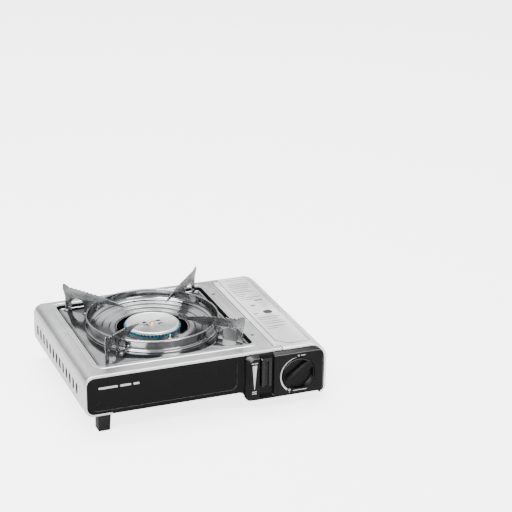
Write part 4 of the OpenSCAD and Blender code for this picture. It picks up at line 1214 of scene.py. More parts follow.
@dataclass
class Lid:
    """Hinged cover over the cartridge: top, rounded right edge, side and lower curl."""

    shop: Workshop
    sheet: float = 0.8
    edge_r: float = 25.0
    curl_r: float = 9.0
    hem: float = 3.4
    hem_r: float = 1.3
    end_d: float = 9.3
    left_x: float = 96.3
    field_x: tuple[float, float] = (105.0, 151.0)
    field_in: tuple[float, float] = (11.8, 10.0)
    groove: float = 0.2

    def build(self) -> None:
        """Builds the pressed lid with its hinge ears, then the printed label."""
        low, high = box_mm("lid")
        self._skin(low, high)
        self._label(high)

    def _skin(self, low: Vector, high: Vector) -> None:
        """Builds the pressed lid.

        Args:
            low: Lowest corner of the lid in the frame.
            high: Highest corner.
        """
        notch_x = self.left_x + 9.7
        tip_x = high.x - self.curl_r
        bend = BentLine([(self.left_x, high.z, 0), (high.x, high.z, self.edge_r),
                         (high.x, low.z, self.curl_r), (tip_x, low.z, 0)])
        hem = BentLine([(low.y, -self.hem, 0), (low.y, 0, self.hem_r), (high.y, 0, self.hem_r),
                        (high.y, -self.hem, 0)])
        turn = math.pi / 2
        fold = self.hem - self.hem_r + self.hem_r * turn
        flat = high.x - self.edge_r - self.left_x
        side_u = flat + self.edge_r * turn
        side_end = side_u + high.z - low.z - self.edge_r - self.curl_r

        def at_y(y: float) -> float:
            """Length along the hem at a place on Y."""
            return fold + y - low.y - self.hem_r

        end_low, end_high = at_y(low.y + self.end_d), at_y(high.y - self.end_d)

        def holes(u: np.ndarray, v: np.ndarray) -> np.ndarray:
            """Distance to the cut-back corners around the shell's lugs."""
            depth = notch_x - self.left_x
            front = box_distance(u, v, (-20, -20), (depth, end_low), 0.4)
            rear = box_distance(u, v, (-20, end_high), (depth, hem.length + 20), 0.4)
            return np.minimum(front, rear)

        u0, u1 = self.field_x[0] - self.left_x, self.field_x[1] - self.left_x
        v0, v1 = at_y(low.y + self.field_in[0]), at_y(high.y - self.field_in[1])
        chamfer = 13.4

        def press(u: np.ndarray, v: np.ndarray) -> np.ndarray:
            """Groove around the label field, whose front left corner is cut off, and seam beads."""
            field = box_distance(u, v, (u0, v0), (u1, v1), 5.0)
            cut_off = (chamfer - (u - u0) - (v - v0)) / math.sqrt(2)
            height = -self.groove * bead(np.maximum(field, cut_off), 1.3)
            height += -0.35 * bead(u - 4.2, 0.9)
            return height

        us = stations((0, 3, 1), (3, 5.4, 0.3), (5.4, u0 - 1.2, 1), (u0 - 1.2, u0 + 1.2, 0.35),
                      (u0 + 1.2, u0 + 15, 1.0), (u0 + 15, flat, 5), (flat, u1 - 1.2, 1.6),
                      (u1 - 1.2, u1 + 1.2, 0.35), (u1 + 1.2, side_u, 1.6), (side_u, side_end, 7),
                      (side_end, side_end + self.curl_r * turn, 1.6))
        vs = stations((0, self.hem - self.hem_r, 1.1), (self.hem - self.hem_r, fold, 0.35),
                      (fold, end_low, 2), (end_low, v0 - 1.2, 1.2), (v0 - 1.2, v0 + 1.2, 0.35),
                      (v0 + 1.2, v0 + 15, 0.9), (v0 + 15, v1 - 7, 6), (v1 - 7, v1 - 1.2, 1),
                      (v1 - 1.2, v1 + 1.2, 0.35), (v1 + 1.2, end_high, 1.2),
                      (end_high, at_y(high.y - self.hem_r), 2),
                      (at_y(high.y - self.hem_r), hem.length - self.hem + self.hem_r, 0.35),
                      (hem.length - self.hem + self.hem_r, hem.length, 1.1))
        sheet = PressedSheet("lid_skin", bend, hem, us, vs, holes, press)
        skin = sheet.build(self.sheet)
        ears = [self._ear(f"lid_ear_{i}", y, high.z) for i, y in enumerate(self._ear_places(low, high))]
        cover = shade(join("cartridge_cover", [skin, *ears]))
        self.shop.add(cover, "lid_steel", Body.LID, stands_for=["lid"])
        # Inner side and cut edges: duller steel, darkened as painted shade.
        self.shop.line(cover, sheet.outer_faces, "inner_steel")
        self._outline(bend, hem, (u0, v0), (u1, v1), chamfer)

    def _outline(self, bend: BentLine, hem: BentLine, low: Point, high: Point, chamfer: float) -> None:
        """Prints a thin grey line around the label, which follows the lid's curve: painted shade where the groove
        around the label field falls dark.

        Args:
            bend: Line that the lid follows in X and Z.
            hem: Line that it follows in Y and depth.
            low: Lowest place along each line.
            high: Highest place along each line.
            chamfer: How much is cut off the front left corner.
        """
        corners = [(low[0] + chamfer, low[1], 1.5), (high[0], low[1], 1.5), (high[0], high[1], 5.0),
                   (low[0], high[1], 5.0), (low[0], low[1] + chamfer, 1.5)]
        middle = Vector(((low[0] + high[0]) / 2, (low[1] + high[1]) / 2))
        line_w, ink = 1.25, 0.05
        half = Vector(((high[0] - low[0]) / 2, (high[1] - low[1]) / 2))
        points, faces = [], []
        places = rounded_points(corners, 15)
        for u, v in places:
            for shrink in (0.0, line_w):
                pu = middle.x + (u - middle.x) * (1 - shrink / half.x)
                pv = middle.y + (v - middle.y) * (1 - shrink / half.y)
                spot, outward = bend.at(pu)
                lift = ink + 0.03
                points.append((spot.x + outward.x * lift, hem.at(pv)[0].x, spot.y + outward.y * lift))
        for i in range(len(places)):
            k = (i + 1) % len(places)
            faces.append((2 * i, 2 * k, 2 * k + 1, 2 * i + 1))
        # Grey band over the groove: painted shade of the groove.
        band = shade(thicken(mesh_object("lid_label_outline", points, faces), ink))
        self.shop.add(band, "print_grey", Body.LID, Slot.LID_STEEL)

    def _ear_places(self, low: Vector, high: Vector) -> tuple[float, float]:
        """Returns the Y of each hinge ear, just inside the shell's lugs."""
        mid_y = (low.y + 0.3 + high.y) / 2
        half = (high.y - low.y - 0.3) / 2 - self.end_d
        ear_t = 1.2
        return mid_y - half + 0.0, mid_y + half - ear_t

    def _ear(self, name: str, y: float, top_z: float) -> bpy.types.Object:
        """Makes one hinge ear with its pin hole.

        Args:
            name: Name of the part.
            y: Where it starts on Y.
            top_z: Height of the lid's top.

        Returns:
            The ear.
        """
        (_, pin_low), (_, pin_high) = [(0, v) for v in box_mm("hinge_pins")]
        pin_x, pin_z = (pin_low.x + pin_high.x) / 2, (pin_low.z + pin_high.z) / 2
        outline = rounded_points(box_corners(self.left_x, pin_z - 3.6, pin_x + 4, top_z - 0.4,
                                             (3.0, 3.0, 0, 0)))
        ear = prism_y(name, outline, y, y + 1.2)
        hole = prism_y("ear_hole", disc_points(pin_x, pin_z, 1.95, 24), y - 1, y + 3)
        return cut(ear, [hole])

    def _label(self, high: Vector) -> None:
        """Prints plain bars on the lid in place of its notices.

        Args:
            high: Highest corner of the lid.
        """
        base_z = high.z + 0.02
        x0 = self.field_x[0] + 6.0
        width = 1.9
        pitch = 6.6
        groups = [(103.0, (33, 31, 30)), (81.0, (24, 30)), (66.0, (16, 12)), (53.0, (33, 20)),
                  (-20.0, (33, 26)), (-36.0, (30, 33)), (-52.0, (31, 14))]
        bars = []
        for top, lengths in groups:
            for i, length in enumerate(lengths):
                bars.append(plate(f"bar_{top}_{i}", x0, top - i * pitch, length, width, base_z))
        self.shop.add(join("lid_label_bars", bars), "print_grey", Body.LID, Slot.LID_STEEL)
        marks = [plate("mark_0", x0 + 18, 40.0, 13, 3.0, base_z), plate("mark_1", x0 + 15, -3.0, 13, 12.0, base_z),
                 plate("mark_2", x0 + 6, 24.0, 8, 3.0, base_z), plate("mark_3", x0 - 1, -5.0, 7, 2.6, base_z)]
        self.shop.add(join("lid_label_marks", marks), "print_dark", Body.LID, Slot.LID_STEEL)


def plate(name: str, x: float, y: float, length: float, width: float, z: float,
          height: float = 0.05) -> bpy.types.Object:
    """Makes a thin printed bar that lies flat, with rounded ends.

    Args:
        name: Name of the part.
        x: Left end in millimetres.
        y: Middle on Y.
        length: Length along X.
        width: Width along Y.
        z: Height of its underside.
        height: Thickness of the print.

    Returns:
        The bar.
    """
    outline = rounded_points(box_corners(x, y - width / 2, x + length, y + width / 2, width * 0.45), 30)
    return lofted(name, [[(px, py, pz) for px, py in outline] for pz in (z, z + height)])


# ---------------------------------------------------------------- front


@dataclass
class ControlBlock:
    """Moulded block on the front with the lever's channel and the knob's well."""

    shop: Workshop
    top_slope: float = 2.6
    face_in: tuple[float, float] = (4.0, 3.0)
    low_slope: float = 2.4
    side_r: float = 8.0
    lid_side_r: float = 20.0
    edge_r: float = 1.6
    channel: tuple[float, float] = (13.5, 21.5)
    channel_low: float = 17.6
    channel_d: float = 6.0
    well_r: float = 24.0
    well_d: float = 10.0
    rail_w: float = 4.0
    rail_d: float = 3.9
    top_bar: float = 4.0

    def build(self) -> None:
        """Builds the block, its prints, the knob and the lever."""
        low, high = box_mm("control_housing")
        self._block(low, high)
        self._prints(low, high)
        self._knob()
        self._lever()
        self._screws()

    def _face(self, low: Vector, high: Vector) -> tuple[float, float, float, float]:
        """Returns the left, low, right and high edges of the front face."""
        return (low.x + self.face_in[0], low.z + self.low_slope, high.x - self.face_in[1],
                high.z - self.top_slope)

    def _ring(self, low: Vector, high: Vector, t: float, inset: float, y: float) -> list[tuple]:
        """Returns the block's outline at one depth.

        Args:
            low: Lowest corner of the block.
            high: Highest corner.
            t: 0 at the base and 1 at the face.
            inset: How far the outline is drawn in.
            y: Place on Y.

        Returns:
            Points of the outline.
        """
        face = self._face(low, high)
        base = (low.x, low.z, high.x, high.z)
        x0, z0, x1, z1 = (b + (f - b) * t for b, f in zip(base, face))
        upper = self.lid_side_r + (self.side_r - self.lid_side_r) * t
        radii = [self.side_r - inset, self.side_r - inset, upper - inset, self.side_r - inset]
        points = rounded_points(box_corners(x0 + inset, z0 + inset, x1 - inset, z1 - inset, radii), 7.5)
        return [(x, y, z) for x, z in points]

    def _block(self, low: Vector, high: Vector) -> None:
        """Builds the hollow block.

        Args:
            low: Lowest corner of the block.
            high: Highest corner.
        """
        back = high.y if high.y < -110 else -121.9
        front = low.y
        back = min(back, box_mm("front_panel")[0].y)
        e = self.edge_r
        rings = [self._ring(low, high, 0, 0, back), self._ring(low, high, 0, 0, back - 3.0)]
        slope_end = front + e
        rings += [self._ring(low, high, 0.5, 0, (back - 3.0 + slope_end) / 2)]
        for k in range(7):
            a = math.pi / 2 * k / 6
            rings.append(self._ring(low, high, 1, e * (1 - math.cos(a)), front + e * (1 - math.sin(a))))
        block = lofted("control_block", rings)
        knob_low, knob_high = box_mm("control_knob")
        axis_x, axis_z = (knob_low.x + knob_high.x) / 2, (knob_low.z + knob_high.z) / 2
        left, _, _, _ = self._face(low, high)
        channel_x = left + self.channel[0]
        tools = [
            prism_y("well", disc_points(axis_x, axis_z, self.well_r, 128), front - 1, front + self.well_d),
            prism_y("bore", disc_points(axis_x, axis_z, 5, 32), front, back + 1),
            prism_y("channel", rounded_points(box_corners(
                channel_x, self.channel_low, channel_x + self.channel[1], high.z + 9, (2, 2, 0, 0))),
                front - 1, front + self.channel_d),
            prism_y("stem_slot", rounded_points(box_corners(
                channel_x + self.channel[1] / 2 - 1.3, 35.5, channel_x + self.channel[1] / 2 + 1.3, 62.5, 0)),
                front, back + 1),
        ]
        cut(block, tools)
        self.shop.add(soften(clean(block), 0.5, 2, 40), "black_plastic", Body.CASE,
                      stands_for=["control_housing"])

    def _prints(self, low: Vector, high: Vector) -> None:
        """Prints the scales as plain marks on the face.

        Args:
            low: Lowest corner of the block.
            high: Highest corner.
        """
        left, _, _, top = self._face(low, high)
        face = low.y - 0.001
        ink = 0.06
        knob_low, knob_high = box_mm("control_knob")
        axis_x, axis_z = (knob_low.x + knob_high.x) / 2, (knob_low.z + knob_high.z) / 2
        wedge_x = left + 6.6
        shapes = [[(wedge_x - 3.3, top - 10.0), (wedge_x - 0.35, 31.0), (wedge_x + 0.35, 31.0),
                   (wedge_x + 3.3, top - 10.0)]]
        shapes += [rounded_points(box_corners(wedge_x - 4.6 + i * 5.0, top - 7.6, wedge_x - 0.8 + i * 5.0,
                                              top - 6.2, 0.5)) for i in range(2)]
        shapes += [rounded_points(box_corners(wedge_x - 3.4, z, wedge_x + 3.4, z + 1.2, 0.5))
                   for z in (27.2, 24.4)]
        shapes += [disc_points(axis_x - 0.5, axis_z + 27.3, 1.2, 24),
                   rounded_points(box_corners(axis_x + 2.6, axis_z + 26.8, axis_x + 9.6, axis_z + 27.9, 0.5))]
        shapes += [rounded_points(box_corners(axis_x - 8.0, 20.2, axis_x + 12.6, 21.3, 0.5)),
                   rounded_points(box_corners(axis_x - 14.6, 21.4, axis_x - 11.2, 24.0, 1.0)),
                   rounded_points(box_corners(axis_x - 13.6, 18.6, axis_x - 12.2, 20.2, 0.5))]
        shapes.append(self._crescent(axis_x, axis_z))
        parts = [prism_y(f"print_{i}", shape, face - ink, face) for i, shape in enumerate(shapes)]
        self.shop.add(join("control_scale_prints", parts), "print_white", Body.CASE, Slot.BLACK_PLASTIC)

    def _crescent(self, x: float, z: float) -> list[Point]:
        """Returns the flame scale: an arc that widens from the top round to the low left."""
        inner, thin, wide = self.well_r + 1.0, 0.35, 2.7
        first, last, count = 98.0, 232.0, 36
        outer_side, inner_side = [], []
        for k in range(count + 1):
            t = k / count
            a = math.radians(first + (last - first) * t)
            r = inner + thin + (wide - thin) * t
            outer_side.append((x + r * math.cos(a), z + r * math.sin(a)))
            inner_side.append((x + inner * math.cos(a), z + inner * math.sin(a)))
        return outer_side + inner_side[::-1]

    def _knob(self) -> None:
        """Builds the knob: a rimmed disc with a diagonal grip between two scoops."""
        low, high = box_mm("control_knob")
        x, z = (low.x + high.x) / 2, (low.z + high.z) / 2
        r = (high.x - low.x) / 2
        front, back = low.y, high.y
        section = [(0.0, back), (r - 0.5, back), (r, back - 0.5)]
        section += [(r - 1.4 + 1.4 * math.cos(a), front + 1.4 - 1.4 * math.sin(a))
                    for a in (math.radians(k) for k in (0, 22, 45, 68, 90))]
        section += [(0.0, front)]
        body = spun("control_knob_body", [(p, -y) for p, y in section], (0, 0), 96)
        turn = Matrix.Translation(Vector((x, 0, z)) * MM) @ Matrix.Rotation(math.radians(90), 4, "X")
        body.data.transform(turn)
        clean(body)
        half, scoop, rim = 4.2, 6.2, r - 1.7
        tools = []
        for side in (1, -1):
            start = math.asin(half / rim)
            arc = [(rim * math.cos(a), rim * math.sin(a))
                   for a in (start + (math.pi - 2 * start) * k / 32 for k in range(33))]
            tilt = math.radians(36.0)
            outline = []
            for px, pz in arc:
                pz *= side
                outline.append((x + px * math.cos(tilt) - pz * math.sin(tilt),
                                z + px * math.sin(tilt) + pz * math.cos(tilt)))
            tools.append(prism_y(f"scoop_{side}", outline, front - 1, front + scoop))
        cut(body, tools)
        soften(clean(body), 0.7, 3, 40)
        body.name = "grip_knob"
        self.shop.add(body, "knob_plastic", Body.KNOB, stands_for=["control_knob"])

    def _lever(self) -> None:
        """Builds the lever from the frame's, with the space between its rails cut out and softened edges."""
        lever = clean(cad_copy("lever_slider", "lock_lever"))
        low, high = box_mm("lock_lever")
        between = rounded_points(box_corners(low.x + self.rail_w, low.z - 1, high.x - self.rail_w,
                                             high.z - self.top_bar, (0, 0, 1.5, 1.5)))
        cut(lever, [prism_y("between_rails", between, low.y - 1, low.y + self.rail_d)])
        self.shop.add(soften(lever, 0.35, 2, 40), "lever_plastic", Body.LEVER, Slot.KNOB_PLASTIC,
                      ["lock_lever"])

    def _screws(self) -> None:
        """Builds the block's screws behind the front panel."""
        low, high = box_mm("housing_screws")
        r = 2.5
        section = [(0.0, 0.0), (1.6, 0.0), (2.3, -0.5), (r, -1.6), (1.2, -1.6), (1.2, low.y - high.y),
                   (0.0, low.y - high.y)]
        tool = spun("block_screw_tool", section, (0, 0), 16)
        tool.data.transform(Matrix.Rotation(math.radians(-90), 4, "X"))
        places = [(x, high.y, z) for x in (low.x + r, high.x - r) for z in (low.z + r, high.z - r)]
        piece = self.shop.repeater.on_points("block_screws", tool, places, self.shop.materials["zinc_steel"])
        self.shop.add(clean_normals(piece), "zinc_steel", Body.CASE, stands_for=["housing_screws"])


def clean_normals(obj: bpy.types.Object) -> bpy.types.Object:
    """Turns a closed mesh's faces outwards."""
    bm = bmesh.new()
    bm.from_mesh(obj.data)
    bmesh.ops.recalc_face_normals(bm, faces=bm.faces)
    bm.to_mesh(obj.data)
    bm.free()
    return obj


@dataclass
class BlackPanels:
    """Front and back panels, their printed bars and the feet."""

    shop: Workshop
    edge: float = 0.35

    def build(self) -> None:
        """Builds the panels, the bars and the feet."""
        for name, node in (("front_fascia", "front_panel"), ("rear_fascia", "back_panel")):
            piece = soften(cad_copy(name, node), self.edge, 2, 40)
            self.shop.add(piece, "black_panel", Body.CASE, stands_for=[node])
        self._bars()
        for node in ("tall_foot_front", "tall_foot_rear", "short_foot_front", "short_foot_rear"):
            foot = soften(cad_copy(f"{node}_pad", node), 0.9, 3, 40)
            self.shop.add(foot, "rubber", Body.CASE, stands_for=[node])

    def _bars(self) -> None:
        """Prints three plain bars on the front panel."""
        low, _ = box_mm("front_panel")
        face = low.y + 0.6
        x0, z0 = low.x + 19.0, 62.0
        lengths = (26.0, 15.0, 8.0)
        gap, width, ink = 3.2, 3.0, 0.06
        parts = []
        for i, length in enumerate(lengths):
            x = x0 + sum(lengths[:i]) + gap * i
            outline = rounded_points(box_corners(x, z0, x + length, z0 + width, width * 0.45))
            parts.append(prism_y(f"bar_{i}", outline, face - ink, face))
        self.shop.add(join("front_print_bars", parts), "print_white", Body.CASE, Slot.BLACK_PANEL)


# ---------------------------------------------------------------- burner


@dataclass
class Burner:
    """Burner head: port ring, louvred cap and brass screw."""

    shop: Workshop
    tooth_n: int = 48
    plate_drop: float = 0.8
    skirt_out: float = 0.4
    skirt_d: float = 1.5

    def build(self) -> None:
        """Builds the ring, the cap and the screw."""
        low, high = box_mm("burner_cap")
        centre = ((low.x + high.x) / 2, (low.y + high.y) / 2)
        self._cap(low, high, centre)
        self._ring(centre)
        self._screw(centre)

    def _cap(self, low: Vector, high: Vector, centre: Point) -> None:
        """Builds the cap with its rolled rim and four louvre slots.

        Args:
            low: Lowest corner of the cap.
            high: Highest corner.
            centre: X and Y of the burner's axis.
        """
        r = (high.x - low.x) / 2
        top, base = high.z, low.z
        rim = 1.9
        skirt = r + self.skirt_out
        section = [(2.6, base), (r - 2.0, base), (r - 2.0, base - self.skirt_d), (skirt, base - self.skirt_d),
                   (skirt + 0.2, base - self.skirt_d + 0.3), (skirt - 0.1, base - 0.2), (r, base + 0.6)]
        section += [(r - rim + rim * math.cos(a) * 0.98, top - 0.9 + 0.9 * math.sin(a))
                    for a in (math.radians(k) for k in (15, 40, 65, 90, 115, 140))]
        section += [(r - 4.6, top - self.plate_drop), (12.0, top - self.plate_drop),
                    (11.0, top - self.plate_drop - 0.25), (2.6, top - self.plate_drop - 0.25)]
        cap = spun("burner_cap_plate", section, centre, 128)
        tools = []
        for dx, dy, turn in ((-9.6, 4.6, 24), (9.6, 4.6, -24), (-9.9, -4.6, -12), (9.9, -4.6, 12)):
            outline = [(-5.2, -1.5), (5.2, -1.5), (1.6, 2.6), (-1.6, 2.6)]
            a = math.radians(turn)
            ring = [(centre[0] + dx + px * math.cos(a) - py * math.sin(a),
                     centre[1] + dy + px * math.sin(a) + py * math.cos(a)) for px, py in outline]
            tools.append(lofted(f"louvre_{dx}_{dy}", [[(px, py, z) for px, py in ring]
                                                      for z in (base - 1, top + 1)]))
        cut(cap, tools)
        self.shop.add(shade(clean(cap), math.radians(28)), "cap_steel", Body.CASE,
                      stands_for=["burner_cap"])

    def _ring(self, centre: Point) -> None:
        """Builds the port ring as a plain band below, near-black as painted shade behind the teeth, and a row of
        teeth above.

        Args:
            centre: X and Y of the burner's axis.
        """
        low, high = box_mm("burner_port_ring")
        r = (high.x - low.x) / 2
        tooth_low = low.z + 0.8
        wall = 3.2
        crown = self.skirt_d + 0.1
        back = r - 1.3
        seat = tooth_low + 0.2
        band = spun("port_band", [(5.0, low.z + 0.1), (back, low.z), (back, high.z - crown),
                                  (back - 0.5, high.z - crown), (back - 0.6, seat), (5.0, seat)], centre, 144)
        # Near-black band: painted shade between and behind the ports.
        self.shop.add(shade(band), "gap_steel", Body.CASE, Slot.PORT_RING)
        width = 2 * math.pi * r / self.tooth_n * 0.62
        outline = [(-wall, -width * 0.42), (0, -width / 2), (0, width / 2), (-wall, width * 0.42)]
        tool = lofted("port_tooth", [[(x, y, z) for x, y in outline]
                                     for z in (tooth_low - 0.2 - high.z, -crown)])
        teeth = self.shop.repeater.on_circle("port_teeth", tool, (*centre, high.z), r, self.tooth_n,
                                             self.shop.materials["port_ring"])
        teeth.name = "flame_port_ring"
        self.shop.add(shade(teeth), "port_ring", Body.CASE, stands_for=["burner_port_ring"])

    def _screw(self, centre: Point) -> None:
        """Builds the domed brass screw with its slot.

        Args:
            centre: X and Y of the burner's axis.
        """
        low, high = box_mm("burner_cap_screw")
        r = (high.x - low.x) / 2
        section = [(0.0, high.z)]
        section += [(r * math.sin(a), high.z - 1.4 + 1.4 * math.cos(a))
                    for a in (math.radians(k) for k in (20, 40, 60, 80, 90))]
        section += [(2.48, high.z - 1.4), (2.48, low.z), (0.0, low.z)]
        screw = spun("cap_fixing_screw", section, centre, 48)
        slot = lofted("screw_slot", [[(centre[0] + x, centre[1] + y, z) for x, y in
                                      ((-6, -0.45), (6, -0.45), (6, 0.45), (-6, 0.45))]
                                     for z in (high.z - 0.8, high.z + 1)])
        self.shop.add(shade(clean(cut(screw, [slot]))), "brass", Body.CASE, stands_for=["burner_cap_screw"])


@dataclass
class PanRest:
    """Lift-off part: drip tray, dish-shaped wind ring, four toothed supports and their rivets."""

    shop: Workshop
    sheet: float = 0.8
    corner_r: float = 5.0
    skirt: float = 2.2
    rim_r: float = 1.5
    arch_w: float = 20.0
    leg_w: float = 10.0
    support_t: float = 1.0
    tooth_n: int = 8
    tooth_pitch: float = 6.2
    crease_lean: float = 0.09

    def build(self) -> None:
        """Builds each piece of the pan rest."""
        low, high = box_mm("wind_ring")
        centre = ((low.x + high.x) / 2, (low.y + high.y) / 2)
        ring_r = (high.x - low.x) / 2
        self._tray(centre, ring_r)
        self._dish(centre, ring_r, high.z)
        leans = (1, -1, -1, 1)
        flanges = (1, 1, -1, 1)
        for i, angle in enumerate((-135, -45, 45, 135)):
            self._support(i + 1, angle, centre, ring_r, high.z, leans[i], flanges[i])
        self._rivets(centre, flanges)

    def _tray(self, centre: Point, ring_r: float) -> None:
        """Builds the drip tray, from its turned-down edge to the collar around the dish.

        Args:
            centre: X and Y of the burner's axis.
            ring_r: Outer radius of the dish's rim.
        """
        low, high = box_mm("drip_tray")
        top = high.z - 4.4
        collar = ring_r - 3.05
        path = rect_path((low.x, low.y), (high.x, high.y), self.corner_r, 7.5, 3.0)
        mid_x, mid_y = centre
        path.sort(key=lambda p: math.atan2(p[1] - mid_y, p[0] - mid_x))
        e = 1.0
        edge = [(0.0, low.z + 0.05)]
        edge += [(-e * (1 - math.cos(a)), top - e + e * math.sin(a))
                 for a in (math.radians(k) for k in (0, 30, 60, 90))]
        edge += [(-1.7, top), (-2.1, top - 0.2), (-2.7, top - 0.45), (-3.3, top - 0.2), (-3.8, top)]
        bead_h, bead_w = 3.0, 4.1
        inner = [(bead_w + 0.9, 0.0), (bead_w + 0.35, 0.0)]
        inner += [(bead_w / 2 + bead_w / 2 * math.cos(a), bead_h * math.sin(a))
                  for a in (math.radians(k) for k in (0, 20, 40, 60, 80, 100, 125))]
        inner += [(0.45, bead_h + 0.1), (0.1, bead_h + 0.6), (0.0, 4.4)]
        rings = []
        for d, z in edge:
            rings.append([(x + nx * d, y + ny * d, z) for x, y, nx, ny in path])
        last = rings[-1]
        angles = [math.atan2(y - centre[1], x - centre[0]) for x, y, _ in last]
        for d, h in inner:
            r = collar + d
            rings.append([(centre[0] + r * math.cos(a), centre[1] + r * math.sin(a), top + h) for a in angles])
        count = len(path)
        points = [p for ring in rings for p in ring]
        faces = []
        for i in range(len(rings) - 1):
            for j in range(count):
                k = (j + 1) % count
                faces.append((i * count + j, i * count + k, (i + 1) * count + k, (i + 1) * count + j))
        skin = mesh_object("drip_tray_sheet", points, faces)
        tray = shade(thicken(skin, self.sheet))
        self.shop.add(tray, "mirror_steel", Body.PAN, stands_for=["drip_tray"])

    def _dish(self, centre: Point, ring_r: float, top: float) -> None:
        """Builds the dish: rolled rim, wall, stepped floor and turned-up hole.

        Args:
            centre: X and Y of the burner's axis.
            ring_r: Outer radius of the rolled rim.
            top: Height of the rim.
        """
        t = self.sheet
        wall = ring_r - 3.1
        floor = box_mm("drip_tray")[1].z - 4.4 + 2.2
        hole = 49.0
        rim = self.rim_r
        rim_x, rim_z = ring_r - rim, top - rim
        inside: list[Point] = [(rim_x - rim * 0.9, rim_z - 0.6), (wall - 1.0, floor + 7.0)]
        sweep = 6.0
        inside += [(wall - 1.0 - sweep + sweep * math.cos(a), floor + 0.4 + sweep - sweep * math.sin(a))
                   for a in (math.radians(k) for k in (0, 18, 36, 54, 72, 90))]
        level, r = floor + 0.4, wall - 9.0
        for _ in range(3):
            inside += [(r, level - 0.1), (r - 0.7, level - 0.5), (r - 1.5, level - 1.5),
                       (r - 2.3, level - 1.9)]
            level -= 1.9
            r -= 9.6
        inside += [(hole + 4.0, level), (hole + 2.0, level + 0.35), (hole + 0.9, level + 1.2),
                   (hole + 0.2, level + 1.9)]
        outside = [(p[0] - 0.1, p[1] - t) for p in inside[2:]][::-1]
        outside = [(hole, level + 1.6), (hole, level + 0.9)] + outside[3:]
        outside += [(wall - 0.2, floor + 1.6), (wall - 0.02, floor + 5.4)]
        roll = [(rim_x + rim * math.cos(a), rim_z + rim * math.sin(a))
                for a in (math.radians(k) for k in range(-80, 200, 20))]
        section = inside + outside + roll
        dish = spun("wind_dish", section, centre, 160)
        self.shop.add(shade(dish, math.radians(50)), "mirror_steel", Body.PAN, stands_for=["wind_ring"])

    def _outline(self, ring_r: float, ring_z: float, tray_z: float) -> tuple[list[Point], list[Point]]:
        """Returns a support's outline and the line of its crease, as distance out and height.

        Args:
            ring_r: Outer radius of the dish's rim.
            ring_z: Height of the rim.
            tray_z: Height of the tray's floor.

        Returns:
            The outline's points, anticlockwise, and the crease's two ends.
        """
        low, high = box_mm("pan_support_1")
        tip = high.z
        reach = 137.0
        foot_in = reach - 2 * self.leg_w - self.arch_w
        arch_in, arch_out = foot_in + self.leg_w, reach - self.leg_w
        arch_top = ring_z + 1.2
        back = [(foot_in, tray_z, 0), (arch_in, tray_z, 0)]
        back += [(arch_in, arch_top, 9.6), (arch_out, arch_top, 9.6), (arch_out, tray_z, 0),
                 (reach, tray_z, 0.5), (reach, tip - 20.7, 8), (reach + 3, tip - 9, 6),
                 (reach + 3, tip - 0.2, 2.4), (reach - 1, tip - 0.4, 1)]
        r = reach - 8
        for _ in range(self.tooth_n):
            z = tip - 4.2 - (reach - 8 - r) * 0.108
            back += [(r + 1.2, z + 0.9, 0.3), (r, z - 1.0, 0.5), (r - 1.8, z - 0.3, 0.6)]
            r -= self.tooth_pitch
        back += [(81, tip - 9.3, 6), (62, tip - 13.6, 12), (40.2, tip - 19.2, 0.6), (40.4, tip - 20.6, 0.5),
                 (60, tip - 20.6, 10), (ring_r - 4.2, tip - 25.2, 3), (ring_r - 3.4, ring_z + 0.1, 0),
                 (ring_r + 1.0, ring_z + 0.1, 0), (ring_r + 2.6, ring_z - 5, 1.0), (foot_in, ring_z - 8, 3)]
        return rounded_points(back, 20), [(ring_r, ring_z + 1.2), (reach, ring_z + 1.2)]

    def _support(self, number: int, angle: float, centre: Point, ring_r: float, ring_z: float,
                 lean: int, flange: int) -> None:
        """Builds one support: toothed sheet whose upper part leans, with two bent feet.

        Args:
            number: Number of the support.
            angle: Its direction from the burner's axis in degrees.
            centre: X and Y of the axis.
            ring_r: Outer radius of the dish's rim.
            ring_z: Height of the rim.
            lean: Side that the upper part leans to.
            flange: Side that the feet are bent to.
        """
        tray_z = box_mm("drip_tray")[1].z - 4.4
        outline, _ = self._outline(ring_r, ring_z, tray_z)
        t = self.support_t
        parts = [lofted(f"fin_{number}", [[(x, y, z) for x, z in outline] for y in (t / 2, -t / 2)])]
        reach = 137.0
        fillet = 1.6
        for r in (reach - 2 * self.leg_w - self.arch_w, reach - self.leg_w):
            foot = rounded_points(box_corners(r + 1, flange * 4.3 - 4.3, r + self.leg_w - 1, flange * 4.3 + 4.3,
                                              fillet), 30)
            parts.append(lofted(f"foot_{number}_{r}", [[(x, y, z) for x, y in foot]
                                                       for z in (tray_z, tray_z + t)]))
        fin = join(f"pot_support_{number}", parts)
        fin = self._creased(fin, ring_z + 4.4, lean)
        fin.data.transform(Matrix.Translation(Vector((*centre, 0)) * MM)
                           @ Matrix.Rotation(math.radians(angle), 4, "Z"))
        self.shop.add(soften(fin, 0.22, 2, 50), "fin_steel", Body.PAN, Slot.MIRROR_STEEL,
                      stands_for=[f"pan_support_{number}"])

    def _creased(self, fin: bpy.types.Object, crease_z: float, lean: int) -> bpy.types.Object:
        """Cuts a fin along a level line and leans the part above it.

        Args:
            fin: The fin, drawn along X.
            crease_z: Height of the crease.
            lean: Side that it leans to.

        Returns:
            The fin.
        """
        bm = bmesh.new()
        bm.from_mesh(fin.data)
        for z in (crease_z - 0.5, crease_z + 0.5):
            geom = list(bm.verts) + list(bm.edges) + list(bm.faces)
            bmesh.ops.bisect_plane(bm, geom=geom, dist=1e-6, plane_co=(0, 0, z * MM), plane_no=(0, 0, 1))
        for v in bm.verts:
            above = v.co.z / MM - crease_z
            if above > 0:
                v.co.y += lean * self.crease_lean * above * MM
        bm.to_mesh(fin.data)
        bm.free()
        return fin

